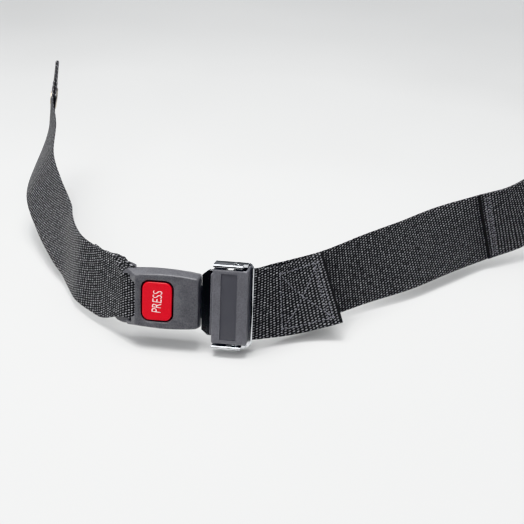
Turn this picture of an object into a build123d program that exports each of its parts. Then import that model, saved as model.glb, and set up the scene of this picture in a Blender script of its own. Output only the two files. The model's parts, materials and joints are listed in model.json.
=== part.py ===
from build123d import *
from math import acos, atan2, cos, radians, sin
import os

# Lap belt with a push-button buckle, in millimetres.
#
# World frame: the origin is the centre of the left anchor's screw hole, +X runs from the left
# anchor to the right one, +Y points to the back of the seat and +Z points up.
#
# Hardware frame: the buckle and the adjuster are drawn flat, with X from the buckle to the tongue,
# Y up across the webbing and Z out of the front face. Z = 0 is the middle of the tongue plate.

# ---------------------------------------------------------------- places in the world
POST_SPACING = 457.0            # left anchor to right anchor, the posts of an 18 inch seat
BUCKLE_AT = (150.0, -233.0, -51.0)   # hardware origin
BUCKLE_LEAN = 12.0              # degrees that the face looks up

# ---------------------------------------------------------------- webbing
WEB_WIDTH = 50.0
WEB_THICK = 1.4
PLY_GAP = 0.2                   # between two plies that lie on each other
SOFT_GAP = 0.3                  # between webbing and what it runs round
PLY_STEP = WEB_THICK + PLY_GAP

# Centre line and lean of each strap: x, y, z and the degrees that its upper edge tips to the
# right of the run. Both lists run from the buckle or adjuster towards the anchor.
LEFT_RUN = [
    (110, -225, -52, 10),
    (91, -210, -53, 9),
    (77, -198, -52, 9),
    (67, -182, -52, 9),
    (58, -165, -51, 12),
    (49, -149, -49, 19),
    (30, -118, -42, 22),
    (14, -88, -31, 28),
    (8, -52, -20, 25),
]
RIGHT_RUN = [
    (221, -215, -54, -12),
    (250, -190, -54, -8),
    (277, -163, -53, -13),
    (304, -136, -53, -23),
    (329, -107, -53, -26),
    (357, -82, -52, -16),
    (384, -66, -47, -10),
    (413, -43, -33, -9),
]
TAIL_RUN = [
    (218, -223.5, -53, -11),
    (231, -215.5, -53.5, -15),
    (244, -208, -52, -22),
    (258, -202, -49, -29),
]
STEPS_PER_STATION = 5
FAN_OUT = 24.0                  # distance over which the gathered webbing opens out again
SEWN_LAP = 3                    # stations of the left run that the sewn-back ply covers
FOLD_FROM = 6                   # station of the right run where its fold-back ply starts

# ---------------------------------------------------------------- anchor tabs
TAB_LENGTH = 26.0               # hole centre to the start of the doubled end
TAB_END_LENGTH = 19.0                # hole centre to the fold
TAB_CORNER = 2.0
LEFT_TAB_RUN = (-0.19, 0.90, 0.39)   # direction of the run at the anchor
LEFT_TAB_LEAN = 10.0
RIGHT_TAB_RUN = (0.62, 0.60, 0.50)
RIGHT_TAB_LEAN = -10.0
SCREW_HOLE = 3.3                # radius of the grommet's bore, for a 6 mm or 1/4 inch screw
GROMMET_WALL = 1.1
GROMMET_FLANGE = 8.5            # radius
GROMMET_SHEET = 0.8
GROMMET_ROLL = 0.5
GROMMET_FIT = 0.1               # between barrel and webbing
STITCH_INSET = 5.0
STITCH_SIZE = 0.5

# ---------------------------------------------------------------- buckle covers
FACE_Z = 8.0                    # front face above the tongue plate's middle
BACK_Z = -10.5
WALL = 1.8
FACE_REAR, FACE_FRONT = -21.75, 21.75
BASE_REAR, BASE_FRONT = -28.5, 22.5
BASE_HALF = (20.0, 21.2, 18.4)  # half width at the parting plane: rear, middle, front
FACE_TAPER = (2.6, 2.3, 1.2)    # how much narrower each half width is at the face
BACK_REAR, BACK_FRONT = -25.5, 21.0
BACK_TAPER = (2.2, 2.6, 1.8)
FACE_EDGE = 1.0
FRONT_CORNER = 2.2              # corners of the covers, seen from the front, at the tongue's end
BACK_EDGE = 2.5
MOUTH_NOTCH = 11.5              # half width of the notch at the face
MOUTH_SPREAD = 16.5             # half width of the notch at the rear
MOUTH_TOP, MOUTH_BOTTOM = 4.6, -4.8
LIP_TIP = (-40.5, -12.6)        # x, z of the lip under the strap
LIP_SPREAD = 0.4                # wider than the rear of the cover
LIP_BULGE = 1.4                 # wider again between tip and root
LIP_THICK = 1.6
LIP_ROOT = (3.5, 0.4)           # how far the lip reaches into the rear and the floor of the cover
LIP_BOW = 0.5                   # bulge of its upper side

# ---------------------------------------------------------------- push button
BUTTON_REAR, BUTTON_FRONT = -17.2, 4.4   # the opening in the face
BUTTON_HALF = 13.9
BUTTON_CORNER = 5.5
BUTTON_CLEAR = 0.6
OPENING_CHAMFER = 0.7           # round the button's opening
BUTTON_PROUD = 0.2
BUTTON_UNDER = 5.0              # underside
BUTTON_TRAVEL = 3.0
BUTTON_LIP = 0.55               # how far its flange reaches past the opening
LEG_X = (-7.0, -5.2)
LEG_Y = (1.5, 5.0)

# ---------------------------------------------------------------- frame and latch
FRAME_SHEET = 1.5
FRAME_FLOOR = -7.6              # underside of the base plate
BLADE_SIDE_GAP = 0.3            # blade to the frame's side walls
FRAME_TOP = 1.2
FRAME_SPAN = (-12.0, 18.4)
EAR_INSET = 3.0                 # frame's ears, in from the side of the covers
SPREAD_FRONT = -17.0
EAR_SHEET = 1.1
EAR_TOP = 3.1
EAR_REACH = 2.6                 # either side of the bar
POCKET_GAP = 0.15               # between the frame's ears and the covers
WEB_BAR_X = -22.0
WEB_BAR_R = 2.2
BAR_FIT = 0.02
LATCH_PIN_X, LATCH_PIN_Z = 15.0, -3.6
LATCH_PIN_R = 1.25
PIN_FIT = 0.05
LATCH_BARREL_R = 2.0
LATCH_SHEET = 1.5
LATCH_HALF = 7.5
LATCH_ARM = -8.0                # free end of the arm
LATCH_NOSE = (7.3, 9.3)
LATCH_GAP = 0.1                 # nose below the blade, at the point of release
FRAME_WINDOW = (-9.5, 9.6)
FRAME_WINDOW_HALF = 9.0
LUG_INNER = 6.6
EJECTOR_THICK = 2.0
EJECTOR_DEPTH = 2.4
EJECTOR_SIDE_GAP = 0.4
EJECTOR_GAP = 0.1
SPIGOT_Y = 9.0
SPIGOT_R = 0.9
SPIGOT_LONG = 2.5
SPRING_WIRE = 0.25              # radius
SPRING_R = 1.6
BUTTON_SPRING_X = -14.3
LATCH_SPRING_X = -2.0
COIL_GAP = 0.05
SCREW_X = 17.0
SCREW_R = 1.0
BOSS_R = 2.0
BOSS_GAP = 0.1                  # to the frame's side wall
PAD_HALF = 9.0                  # pads that the frame rests on
PAD_WIDE = 2.0
SCREW_HEAD_R = 1.9
SCREW_HEAD = 1.2

# ---------------------------------------------------------------- tongue and adjuster
PLATE = 2.2
BLADE_HALF = 11.0
BLADE_TIP = 0.0
BLADE_CHAMFER = 3.0               # at the tip's corners
SHOULDER_X = 23.0
SHOULDER_HALF = 19.4
NECK_X = 27.3
NECK_HALF = 23.0
LATCH_WINDOW = (6.7, 13.2)
LATCH_WINDOW_HALF = 6.5
CHEEK_X = 31.8
CHEEK_SHEET = 2.0
CHEEK_CLEAR = 2.3               # webbing to the inside of the flanges
CHEEK_TOP = 10.0
CHEEK_END = 51.7
CHEEK_STEP = (54.2, 4.2)        # low rear part of the flanges: end, height
PLATE_END = 58.0
PLATE_CORNER = 4.0
BAR_X, BAR_Z = 48.0, 4.0        # lock bar at rest, against the strap
BAR_R = 2.4
BAR_TRAVEL = 2.5
BAR_TENON_R = 1.6
TENON_FIT = 0.05
BAR_SIDE_GAP = 0.2
WINDOW_FRONT = 37.5
CROSSBAR_GAP = 0.4              # strap to the rear crossbar
COVER_X = (31.3, 55.4)
COVER_SIDE_GAP = 1.3            # to the inside of the flanges
COVER_TOP = 9.4
COVER_ROOF = 1.0
COVER_REAR_WALL = 1.5
COVER_CAVITY_X = 40.6
COVER_EDGE = 1.3
SKIRT_X = 29.2                  # low step of the cover towards the buckle: end, half width, height
SKIRT_HALF = 21.5
SKIRT_TOP = 4.4
SKIRT_EDGE = 0.8
PANEL_X = (37.2, 48.2)
PANEL_INSET = 2.8
PANEL_DEEP = 0.5
RIVET_X, RIVET_Y = 35.4, 15.0
RIVET_R = 1.5
RIVET_DEEP = 5.0
RIVET_HEAD_R = 2.7
RIVET_HEAD = 0.8

# ---------------------------------------------------------------- values worked out from those
LEAN_SIN, LEAN_COS = sin(radians(BUCKLE_LEAN)), cos(radians(BUCKLE_LEAN))
HARDWARE = Plane(origin=BUCKLE_AT, x_dir=(1, 0, 0), z_dir=(0, -LEAN_COS, LEAN_SIN))
WIDTH_UP = HARDWARE.y_dir
FACE_HALF = tuple(half - taper for half, taper in zip(BASE_HALF, FACE_TAPER))
BACK_HALF = tuple(half - taper for half, taper in zip(BASE_HALF, BACK_TAPER))
LIP_HALF = BASE_HALF[0] + LIP_SPREAD
SPREAD_HALF = BASE_HALF[0] - EAR_INSET
FRAME_INNER = BLADE_HALF + BLADE_SIDE_GAP
EJECTOR_HALF = FRAME_INNER - EJECTOR_SIDE_GAP
SCREW_Y = FRAME_INNER + EAR_SHEET + BOSS_GAP + BOSS_R
CHEEK_INNER = WEB_WIDTH / 2 + CHEEK_CLEAR
CHEEK_HALF = CHEEK_INNER + CHEEK_SHEET
COVER_HALF = CHEEK_INNER - COVER_SIDE_GAP
PANEL_HALF = COVER_HALF - PANEL_INSET
HALF_PLATE = PLATE / 2
INSIDE_HALF = tuple(half - WALL for half in BASE_HALF)
BACK_INSIDE = tuple(half - WALL for half in BACK_HALF)
LOOP_WIDTH = 2 * (SPREAD_HALF - EAR_SHEET - SOFT_GAP)
LEFT_LOOP_R = WEB_BAR_R + SOFT_GAP + WEB_THICK / 2
RIGHT_LOOP_R = BAR_R + SOFT_GAP + WEB_THICK / 2
TAIL_Z = -HALF_PLATE - CROSSBAR_GAP - WEB_THICK / 2
MAIN_Z = TAIL_Z - PLY_STEP
CROSSBAR_X = BAR_X + RIGHT_LOOP_R + WEB_THICK / 2 + CROSSBAR_GAP
TAB_THICK = WEB_THICK + PLY_STEP
BARREL_R = SCREW_HOLE + GROMMET_WALL
LATCH_TOP = LATCH_PIN_Z + LATCH_SHEET / 2
LATCH_UNDER = LATCH_PIN_Z - LATCH_SHEET / 2
BACK_FLOOR = BACK_Z + WALL + 0.1
EXIT_X = CROSSBAR_X + 1.1       # where both plies start to bend away, behind the crossbar


def place(shape):
    """Moves a shape from the hardware frame to the world."""
    return HARDWARE.location * shape


def block(x, y, z):
    """A box between two limits along each axis."""
    size = [b - a for a, b in (x, y, z)]
    middle = [(a + b) / 2 for a, b in (x, y, z)]
    return Pos(*middle) * Box(*size)


def mirrored(shape):
    """A shape and its mirror image across the hardware's middle plane."""
    return [shape, mirror(shape, Plane.XZ)]


def cross_pin(x, z, radius, half):
    """A cylinder along Y, centred on the middle plane."""
    return Pos(x, 0, z) * Rot(90, 0, 0) * Cylinder(radius, 2 * half)


def bowed(rear, front, halves, z, corner=0):
    """A face across the buckle with straight ends and bowed long sides, and perhaps rounded front corners."""
    at_rear, at_middle, at_front = halves
    middle = (rear + front) / 2
    sides = [
        ThreePointArc((rear, at_rear), (middle, at_middle), (front, at_front)),
        Line((front, at_front), (front, -at_front)),
        ThreePointArc((front, -at_front), (middle, -at_middle), (rear, -at_rear)),
        Line((rear, -at_rear), (rear, at_rear)),
    ]
    face = make_face(sides)
    if corner:
        face = fillet(face.vertices().sort_by(Axis.X)[-2:], corner)
    return Pos(0, 0, z) * face


def rounded_plan(x, half, z, corner, wider=0.0):
    """A rectangle with rounded corners at height z, centred on the middle plane."""
    face = Rectangle(x[1] - x[0] + 2 * wider, 2 * (half + wider))
    return Pos((x[0] + x[1]) / 2, 0, z) * fillet(face.vertices(), corner + wider)


def rounded_block(x, half, z, corner):
    """An upright block with rounded corners, centred on the middle plane."""
    return extrude(rounded_plan(x, half, z[0], corner), z[1] - z[0])


def spring(radius, length, turns):
    """A compression spring that starts at the origin and runs up Z."""
    rise = length - 2 * SPRING_WIRE - 2 * COIL_GAP
    path = Pos(0, 0, SPRING_WIRE + COIL_GAP) * Helix(rise / turns, rise, radius)
    start = Plane(path @ 0, z_dir=path % 0)
    return sweep(start * Circle(SPRING_WIRE), path=path)


# ---------------------------------------------------------------- straps
def run_frame(direction, lean):
    """Unit vectors of a leaning strap: along it, up across it, and out of its right face."""
    along = Vector(*direction).normalized()
    upright = (Vector(0, 0, 1) - along * along.Z).normalized()
    right = along.cross(upright)
    across = upright * cos(radians(lean)) + right * sin(radians(lean))
    return along, across, along.cross(across)


def hermite(share, span, start, start_slope, end, end_slope):
    """A point on the cubic between two stations that are span apart."""
    square, cube = share ** 2, share ** 3
    point = start * (2 * cube - 3 * square + 1) + end * (3 * square - 2 * cube)
    return point + (start_slope * (cube - 2 * square + share) + end_slope * (cube - square)) * span


def slopes(values, knots, first, last):
    """Slope at every station, from its neighbours; the two end slopes are given."""
    inner = []
    for i in range(1, len(values) - 1):
        inner.append((values[i + 1] - values[i - 1]) / (knots[i + 1] - knots[i - 1]))
    return [first] + inner + [last]


def smooth_run(start, run, end):
    """Closely spaced (point, along, across, width) rows of a strap.

    start and end are such rows too; run holds the stations between them, each with its lean.
    A run without an end row stops at its last station.
    """
    centres = [start[0]] + [Vector(*row[:3]) for row in run] + ([end[0]] if end else [])
    final = end[1] if end else (centres[-1] - centres[-2]).normalized()
    knots = [0.0]
    for before, after in zip(centres, centres[1:]):
        knots.append(knots[-1] + (after - before).length)
    runs = slopes(centres, knots, start[1], final)
    edges = [start[2]] + [run_frame(slope, row[3])[1] for slope, row in zip(runs[1:], run)]
    edges += [end[2]] if end else []
    turns = slopes(edges, knots, Vector(0, 0, 0), Vector(0, 0, 0))
    rows = [start]
    for i, span in enumerate(b - a for a, b in zip(knots, knots[1:])):
        for step in range(1, STEPS_PER_STATION + 1):
            share, nudge = step / STEPS_PER_STATION, 0.001
            cubic = (span, centres[i], runs[i], centres[i + 1], runs[i + 1])
            point = hermite(share, *cubic)
            along = (point - hermite(share - nudge, *cubic)).normalized()
            across = hermite(share, span, edges[i], turns[i], edges[i + 1], turns[i + 1])
            across = (across - along * across.dot(along)).normalized()
            width = min(WEB_WIDTH, start[3] + (WEB_WIDTH - start[3]) * (knots[i] + share * span) / FAN_OUT)
            rows.append((point, along, across, width))
    if end:
        rows[-1] = end
    return rows


def sections(rows, offset=0.0):
    """Strap sections at the rows of a run, shifted along the right-hand normal."""
    faces = []
    for point, along, across, width in rows:
        normal = along.cross(across)
        plane = Plane(origin=point + normal * offset, x_dir=across, z_dir=along)
        faces.append(plane * Rectangle(width, WEB_THICK))
    return faces


def tab_frame(direction, lean, centre):
    """The plane of an anchor tab: X along the run, Y up across it, Z along the screw."""
    along, across, normal = run_frame(direction, lean)
    return Plane(origin=centre, x_dir=along, z_dir=normal)


def tab_start(tab):
    """The row where a strap's main ply meets its tab, behind the tab's middle plane."""
    centre = tab.origin - tab.x_dir * TAB_LENGTH - tab.z_dir * (PLY_STEP / 2)
    return centre, tab.x_dir, tab.y_dir, WEB_WIDTH


def swept_ply(edges, width):
    """Webbing of one width along a path in the hardware's X-Z plane."""
    path = Wire(edges)
    start = Plane(origin=path @ 0, x_dir=(0, 1, 0), z_dir=path % 0)
    return sweep(start * Rectangle(width, WEB_THICK), path=path)


def left_loop():
    """The left strap's turn round the webbing bar, and the two points where it leaves the mouth."""
    reach, rise = BASE_REAR - WEB_BAR_X, PLY_STEP / 2
    angle = atan2(rise, reach) - acos(LEFT_LOOP_R / (reach ** 2 + rise ** 2) ** 0.5)
    touch_x = WEB_BAR_X + LEFT_LOOP_R * cos(angle)
    touch_z = LEFT_LOOP_R * sin(angle)
    front, rear = (BASE_REAR, 0, rise), (BASE_REAR, 0, -rise)
    edges = [
        Line(front, (touch_x, 0, touch_z)),
        ThreePointArc((touch_x, 0, touch_z), (WEB_BAR_X + LEFT_LOOP_R, 0, 0), (touch_x, 0, -touch_z)),
        Line((touch_x, 0, -touch_z), rear),
    ]
    slope = Vector(BASE_REAR - touch_x, 0, rise - touch_z).normalized()
    return swept_ply(edges, LOOP_WIDTH), front, rear, slope


def left_strap(tab):
    """Left strap: from the tab to the buckle's bar, round it, and back over the sewn lap."""
    loop, front, rear, slope = left_loop()
    starts = []
    for point, direction in ((front, slope), (rear, Vector(slope.X, 0, -slope.Z))):
        at = HARDWARE.from_local_coords(Vector(*point))
        along = HARDWARE.from_local_coords(Vector(*point) + direction) - at
        starts.append((at, along, WIDTH_UP, LOOP_WIDTH))
    rows = smooth_run(starts[0], LEFT_RUN, tab_start(tab))
    lap = rows[1:SEWN_LAP * STEPS_PER_STATION + 1]
    back = [starts[1]] + [(p + a.cross(w) * PLY_STEP, a, w, width) for p, a, w, width in lap]
    return place(loop) + loft(sections(rows)) + loft(sections(back))


def right_loop():
    """The right strap's turn round the lock bar, with both plies leaving under the crossbar."""
    left, right = BAR_X - RIGHT_LOOP_R, BAR_X + RIGHT_LOOP_R
    outer, inner = 2.4, CROSSBAR_GAP + WEB_THICK / 2 + 0.5
    low = (left + outer, 0, MAIN_Z)
    bend = sin(radians(45))
    edges = [
        Line((EXIT_X, 0, MAIN_Z), low),
        ThreePointArc(low, (left + outer * (1 - bend), 0, MAIN_Z + outer * (1 - bend)),
                      (left, 0, MAIN_Z + outer)),
        Line((left, 0, MAIN_Z + outer), (left, 0, BAR_Z)),
        ThreePointArc((left, 0, BAR_Z), (BAR_X, 0, BAR_Z + RIGHT_LOOP_R), (right, 0, BAR_Z)),
        Line((right, 0, BAR_Z), (right, 0, TAIL_Z + inner)),
        ThreePointArc((right, 0, TAIL_Z + inner),
                      (right + inner * (1 - bend), 0, TAIL_Z + inner * (1 - bend)),
                      (right + inner, 0, TAIL_Z)),
        Line((right + inner, 0, TAIL_Z), (EXIT_X, 0, TAIL_Z)),
    ]
    return swept_ply(edges, WEB_WIDTH)


def right_exit(z):
    """The section where a ply leaves the adjuster."""
    at = HARDWARE.from_local_coords(Vector(EXIT_X, 0, z))
    return at, HARDWARE.x_dir, WIDTH_UP, WEB_WIDTH


def right_rows(tab):
    """The whole main ply of the right strap, from the adjuster to the tab."""
    return smooth_run(right_exit(MAIN_Z), RIGHT_RUN, tab_start(tab))


def right_strap(tab):
    """Right strap: main ply, the turn round the lock bar and the free tail, in one piece."""
    tail = smooth_run(right_exit(TAIL_Z), TAIL_RUN, None)
    return place(right_loop()) + loft(sections(right_rows(tab))) + loft(sections(tail))


def right_fold_back(tab):
    """Front ply of the right strap's double end, from its cut end to the tab."""
    return loft(sections(right_rows(tab)[FOLD_FROM * STEPS_PER_STATION:], PLY_STEP))


def anchor_tab(tab):
    """The doubled end of a strap, with the hole for its grommet."""
    body = block((-TAB_LENGTH, TAB_END_LENGTH), (-WEB_WIDTH / 2, WEB_WIDTH / 2),
                 (-TAB_THICK / 2, TAB_THICK / 2))
    end_edges = body.edges().filter_by(Axis.Z).group_by(Axis.X)[-1]
    body = fillet(end_edges, TAB_CORNER)
    body -= Cylinder(BARREL_R + GROMMET_FIT, 2 * TAB_THICK)
    return tab.location * body


def grommet(tab):
    """Eyelet: domed flange in front, barrel through the tab, rolled over the washer behind."""
    reach = TAB_THICK / 2 + GROMMET_SHEET + GROMMET_ROLL
    dome = GROMMET_SHEET + GROMMET_ROLL
    body = Cylinder(BARREL_R, 2 * reach)
    body += Pos(0, 0, reach - dome / 2) * Cylinder(GROMMET_FLANGE, dome)
    body += Pos(0, 0, GROMMET_ROLL / 2 - reach) * Cylinder(BARREL_R + 2 * GROMMET_ROLL, GROMMET_ROLL)
    rim = body.edges().filter_by(GeomType.CIRCLE).group_by(Axis.Z)[-1]
    body = fillet(rim, dome * 0.6)
    return tab.location * (body - Cylinder(SCREW_HOLE, 4 * TAB_THICK))


def grommet_washer(tab):
    """Flat ring that the barrel is rolled over."""
    ring = Cylinder(GROMMET_FLANGE, GROMMET_SHEET) - Cylinder(BARREL_R + GROMMET_FIT, 2 * GROMMET_SHEET)
    return tab.location * Pos(0, 0, -TAB_THICK / 2 - GROMMET_SHEET / 2) * ring


def tab_stitching(tab):
    """Two rows of thread across each face of the tab, between the grommet and the strap."""
    rows = []
    reach = WEB_WIDTH / 2 - STITCH_INSET
    for x in (-TAB_LENGTH + STITCH_INSET, -GROMMET_FLANGE - STITCH_INSET / 2):
        for side in (-1, 1):
            height = side * (TAB_THICK + STITCH_SIZE) / 2
            rows.append(block((x, x + STITCH_SIZE), (-reach, reach),
                              (height - STITCH_SIZE / 2, height + STITCH_SIZE / 2)))
    return tab.location * Compound(rows)


# ---------------------------------------------------------------- buckle
def buckle_front_cover():
    """Front shell: face, drafted walls, button opening, ears of the mouth, screw bosses."""
    base = bowed(BASE_REAR, BASE_FRONT, BASE_HALF, 0, FRONT_CORNER)
    face = bowed(FACE_REAR, FACE_FRONT, FACE_HALF, FACE_Z, FRONT_CORNER)
    shell = loft([base, face])
    shell = fillet(shell.edges().group_by(Axis.Z)[-1], FACE_EDGE)
    roof = FACE_Z - WALL
    roof_half = tuple(half - WALL for half in FACE_HALF)
    inside = loft([
        bowed(FACE_REAR + WALL, BASE_FRONT - WALL, INSIDE_HALF, 0),
        bowed(FACE_REAR + WALL, FACE_FRONT - WALL, roof_half, roof),
    ])
    shell -= inside
    pocket = SPREAD_HALF + POCKET_GAP
    shell -= block((BASE_REAR - 1, SPREAD_FRONT + 0.5), (-pocket, pocket), (-1, MOUTH_TOP))
    notch = make_face(Polyline(
        (FACE_REAR, -MOUTH_NOTCH), (FACE_REAR, MOUTH_NOTCH), (BASE_REAR, MOUTH_SPREAD),
        (BASE_REAR - WALL, MOUTH_SPREAD), (BASE_REAR - WALL, -MOUTH_SPREAD), (BASE_REAR, -MOUTH_SPREAD),
        (FACE_REAR, -MOUTH_NOTCH)))
    shell -= extrude(notch, 2 * FACE_Z)
    opening = (BUTTON_REAR, BUTTON_FRONT)
    shell -= rounded_block(opening, BUTTON_HALF, (roof - 1, FACE_Z + 1), BUTTON_CORNER)
    shell -= loft([
        rounded_plan(opening, BUTTON_HALF, FACE_Z - OPENING_CHAMFER, BUTTON_CORNER),
        rounded_plan(opening, BUTTON_HALF, FACE_Z + OPENING_CHAMFER, BUTTON_CORNER, 2 * OPENING_CHAMFER),
    ])
    for boss in mirrored(Pos(SCREW_X, SCREW_Y, roof / 2) * Cylinder(BOSS_R, roof)):
        shell += boss
    for hole in mirrored(Pos(SCREW_X, SCREW_Y, roof / 2 - 1) * Cylinder(SCREW_R + BAR_FIT, roof)):
        shell -= hole
    shell -= block((BASE_FRONT - 2 * WALL, BASE_FRONT + 1), (-FRAME_INNER, FRAME_INNER),
                   (-1, HALF_PLATE + 0.2))
    return place(shell)


def lip():
    """The curved lip behind the strap, at the mouth of the rear cover."""
    root_x, root_z = BASE_REAR + LIP_ROOT[0], MOUTH_BOTTOM - LIP_ROOT[1]
    tip_x, tip_z = LIP_TIP
    middle = ((root_x + tip_x) / 2 - LIP_BOW, 0, (root_z + tip_z) / 2 + 2 * LIP_BOW)
    upper = Spline((root_x, 0, root_z), middle, (tip_x, 0, tip_z))
    lower = Spline((tip_x, 0, tip_z - LIP_THICK),
                   ((root_x + tip_x) / 2, 0, BACK_Z - 0.3), (root_x, 0, BACK_Z + 1.0))
    profile = make_face([upper, Line(upper @ 1, lower @ 0), lower, Line(lower @ 1, upper @ 0)])
    body = extrude(profile, LIP_HALF + 2, both=True)
    plan = bowed(tip_x - 1, root_x + 1, (LIP_HALF, LIP_HALF + LIP_BULGE, BACK_HALF[0] + LIP_BULGE), 2 * BACK_Z)
    return body & extrude(plan, -3 * BACK_Z)


def buckle_rear_cover():
    """Rear shell: rounded back, mouth floor with its lip, screw bosses, pads under the frame."""
    base = bowed(BASE_REAR, BASE_FRONT, BASE_HALF, 0, FRONT_CORNER)
    back = bowed(BACK_REAR, BACK_FRONT, BACK_HALF, BACK_Z, FRONT_CORNER)
    shell = loft([base, back])
    shell = fillet(shell.edges().group_by(Axis.Z)[0], BACK_EDGE)
    shell += lip()
    inside = loft([
        bowed(BASE_REAR + WALL, BASE_FRONT - WALL, INSIDE_HALF, 0),
        bowed(BACK_REAR + WALL, BACK_FRONT - WALL, BACK_INSIDE, BACK_FLOOR),
    ])
    shell -= inside
    pocket = SPREAD_HALF + POCKET_GAP
    shell -= block((BASE_REAR - 1, BASE_REAR + 2 * WALL), (-pocket, pocket), (MOUTH_BOTTOM, 1))
    shell -= block((WEB_BAR_X - EAR_REACH - 0.5, SPREAD_FRONT + 0.5), (-pocket, pocket), (FRAME_FLOOR, 1))
    depth = -BACK_Z
    for post in mirrored(Pos(SCREW_X, SCREW_Y, BACK_FLOOR / 2) * Cylinder(BOSS_R, -BACK_FLOOR)):
        shell += post
    for hole in mirrored(Pos(SCREW_X, SCREW_Y, -depth / 2) * Cylinder(SCREW_R + BAR_FIT, 2 * depth)):
        shell -= hole
    counterbore = Cylinder(SCREW_HEAD_R + 0.1, SCREW_HEAD)
    for sink in mirrored(Pos(SCREW_X, SCREW_Y, BACK_Z + SCREW_HEAD / 2) * counterbore):
        shell -= sink
    for x in (SPREAD_FRONT - PAD_WIDE, FRAME_SPAN[1] - 3 * PAD_WIDE):
        shell += block((x, x + PAD_WIDE), (-PAD_HALF, PAD_HALF), (BACK_FLOOR - 0.2, FRAME_FLOOR))
    shell -= block((BASE_FRONT - 2 * WALL, BASE_FRONT + 1), (-FRAME_INNER, FRAME_INNER),
                   (-HALF_PLATE - 0.2, 1))
    return place(shell)


def cover_screws():
    """Two screws that go in from the back, between the frame and the covers' side walls."""
    tip = FACE_Z - WALL - 2.0
    shank = Pos(SCREW_X, SCREW_Y, (BACK_Z + tip) / 2) * Cylinder(SCREW_R, tip - BACK_Z)
    head = Pos(SCREW_X, SCREW_Y, BACK_Z + SCREW_HEAD / 2) * Cylinder(SCREW_HEAD_R, SCREW_HEAD)
    slot = block((SCREW_X - SCREW_HEAD_R, SCREW_X + SCREW_HEAD_R), (SCREW_Y - 0.25, SCREW_Y + 0.25),
                 (BACK_Z - 1, BACK_Z + 0.5))
    return place(Compound(mirrored(shank + head - slot)))


def buckle_frame():
    """Steel channel: base plate, side walls for the latch pin, rear ears for the webbing bar."""
    floor = (FRAME_FLOOR, FRAME_FLOOR + FRAME_SHEET)
    outer = FRAME_INNER + EAR_SHEET
    body = block(FRAME_SPAN, (-outer, outer), floor)
    body += block((WEB_BAR_X - EAR_REACH, SPREAD_FRONT), (-SPREAD_HALF, SPREAD_HALF), floor)
    body += block((SPREAD_FRONT, FRAME_SPAN[0]), (-outer, outer), floor)
    body -= block(FRAME_WINDOW, (-FRAME_WINDOW_HALF, FRAME_WINDOW_HALF), (FRAME_FLOOR - 1, 0))
    height = (FRAME_FLOOR, FRAME_TOP)
    for wall in mirrored(block(FRAME_SPAN, (FRAME_INNER, outer), height)):
        body += wall
    lug_x = (FRAME_SPAN[0], FRAME_SPAN[0] + FRAME_SHEET)
    for lug in mirrored(block(lug_x, (LUG_INNER, outer), height)):
        body += lug
    ear_x = (WEB_BAR_X - EAR_REACH, WEB_BAR_X + EAR_REACH)
    for ear in mirrored(block(ear_x, (SPREAD_HALF - EAR_SHEET, SPREAD_HALF), (FRAME_FLOOR, EAR_TOP))):
        body += ear
    body -= cross_pin(WEB_BAR_X, 0, WEB_BAR_R + BAR_FIT, SPREAD_HALF + 1)
    body -= cross_pin(LATCH_PIN_X, LATCH_PIN_Z, LATCH_PIN_R + BAR_FIT, SPREAD_HALF)
    return place(body)


def webbing_bar():
    """Steel bar between the frame's rear ears."""
    return place(cross_pin(WEB_BAR_X, 0, WEB_BAR_R, SPREAD_HALF))


def latch_pin():
    """Pin that the latch plate swings on."""
    return place(cross_pin(LATCH_PIN_X, LATCH_PIN_Z, LATCH_PIN_R, FRAME_INNER + EAR_SHEET))


def latch_plate():
    """Pressed pawl: barrel on the pin, arm under the button's legs, nose for the tongue's window."""
    arm = block((LATCH_ARM, LATCH_PIN_X), (-LATCH_HALF, LATCH_HALF), (LATCH_UNDER, LATCH_TOP))
    barrel = cross_pin(LATCH_PIN_X, LATCH_PIN_Z, LATCH_BARREL_R, FRAME_INNER - SOFT_GAP)
    nose_top = -HALF_PLATE - LATCH_GAP
    rear, front = LATCH_NOSE
    profile = make_face(Polyline(
        (rear, 0, LATCH_TOP), (rear + 0.9, 0, nose_top), (front, 0, nose_top), (front, 0, LATCH_TOP),
        (rear, 0, LATCH_TOP)))
    nose = extrude(profile, LATCH_WINDOW_HALF - 0.5, both=True)
    body = arm + barrel + nose
    return place(body - cross_pin(LATCH_PIN_X, LATCH_PIN_Z, LATCH_PIN_R + PIN_FIT, SPREAD_HALF))


def latch_spring():
    """Spring between the rear cover's floor and the latch plate's arm."""
    return place(Pos(LATCH_SPRING_X, 0, BACK_FLOOR) * spring(SPRING_R, LATCH_UNDER - BACK_FLOOR, 3))


def ejector_span():
    """Rear and front of the ejector's crossbar, just behind the blade's tip."""
    front = BLADE_TIP - EJECTOR_GAP
    return front - EJECTOR_DEPTH, front


def ejector():
    """Plastic slide that pushes the tongue out: a crossbar with two spring spigots."""
    rear, front = ejector_span()
    half = EJECTOR_THICK / 2
    body = block((rear, front), (-EJECTOR_HALF, EJECTOR_HALF), (-half, half))
    spigot = Pos(rear - SPIGOT_LONG / 2, SPIGOT_Y, 0) * Rot(0, 90, 0) * Cylinder(SPIGOT_R, SPIGOT_LONG)
    for stem in mirrored(spigot):
        body += stem
    return place(body)


def ejector_springs():
    """Two springs between the frame's lugs and the ejector."""
    rear = FRAME_SPAN[0] + FRAME_SHEET
    length = ejector_span()[0] - rear
    one = Pos(rear, SPIGOT_Y, 0) * Rot(0, 90, 0) * spring(SPRING_R, length, 6)
    other = Pos(rear, -SPIGOT_Y, 0) * Rot(0, 90, 0) * spring(SPRING_R, length, 6)
    return place(Compound([one, other]))


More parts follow.
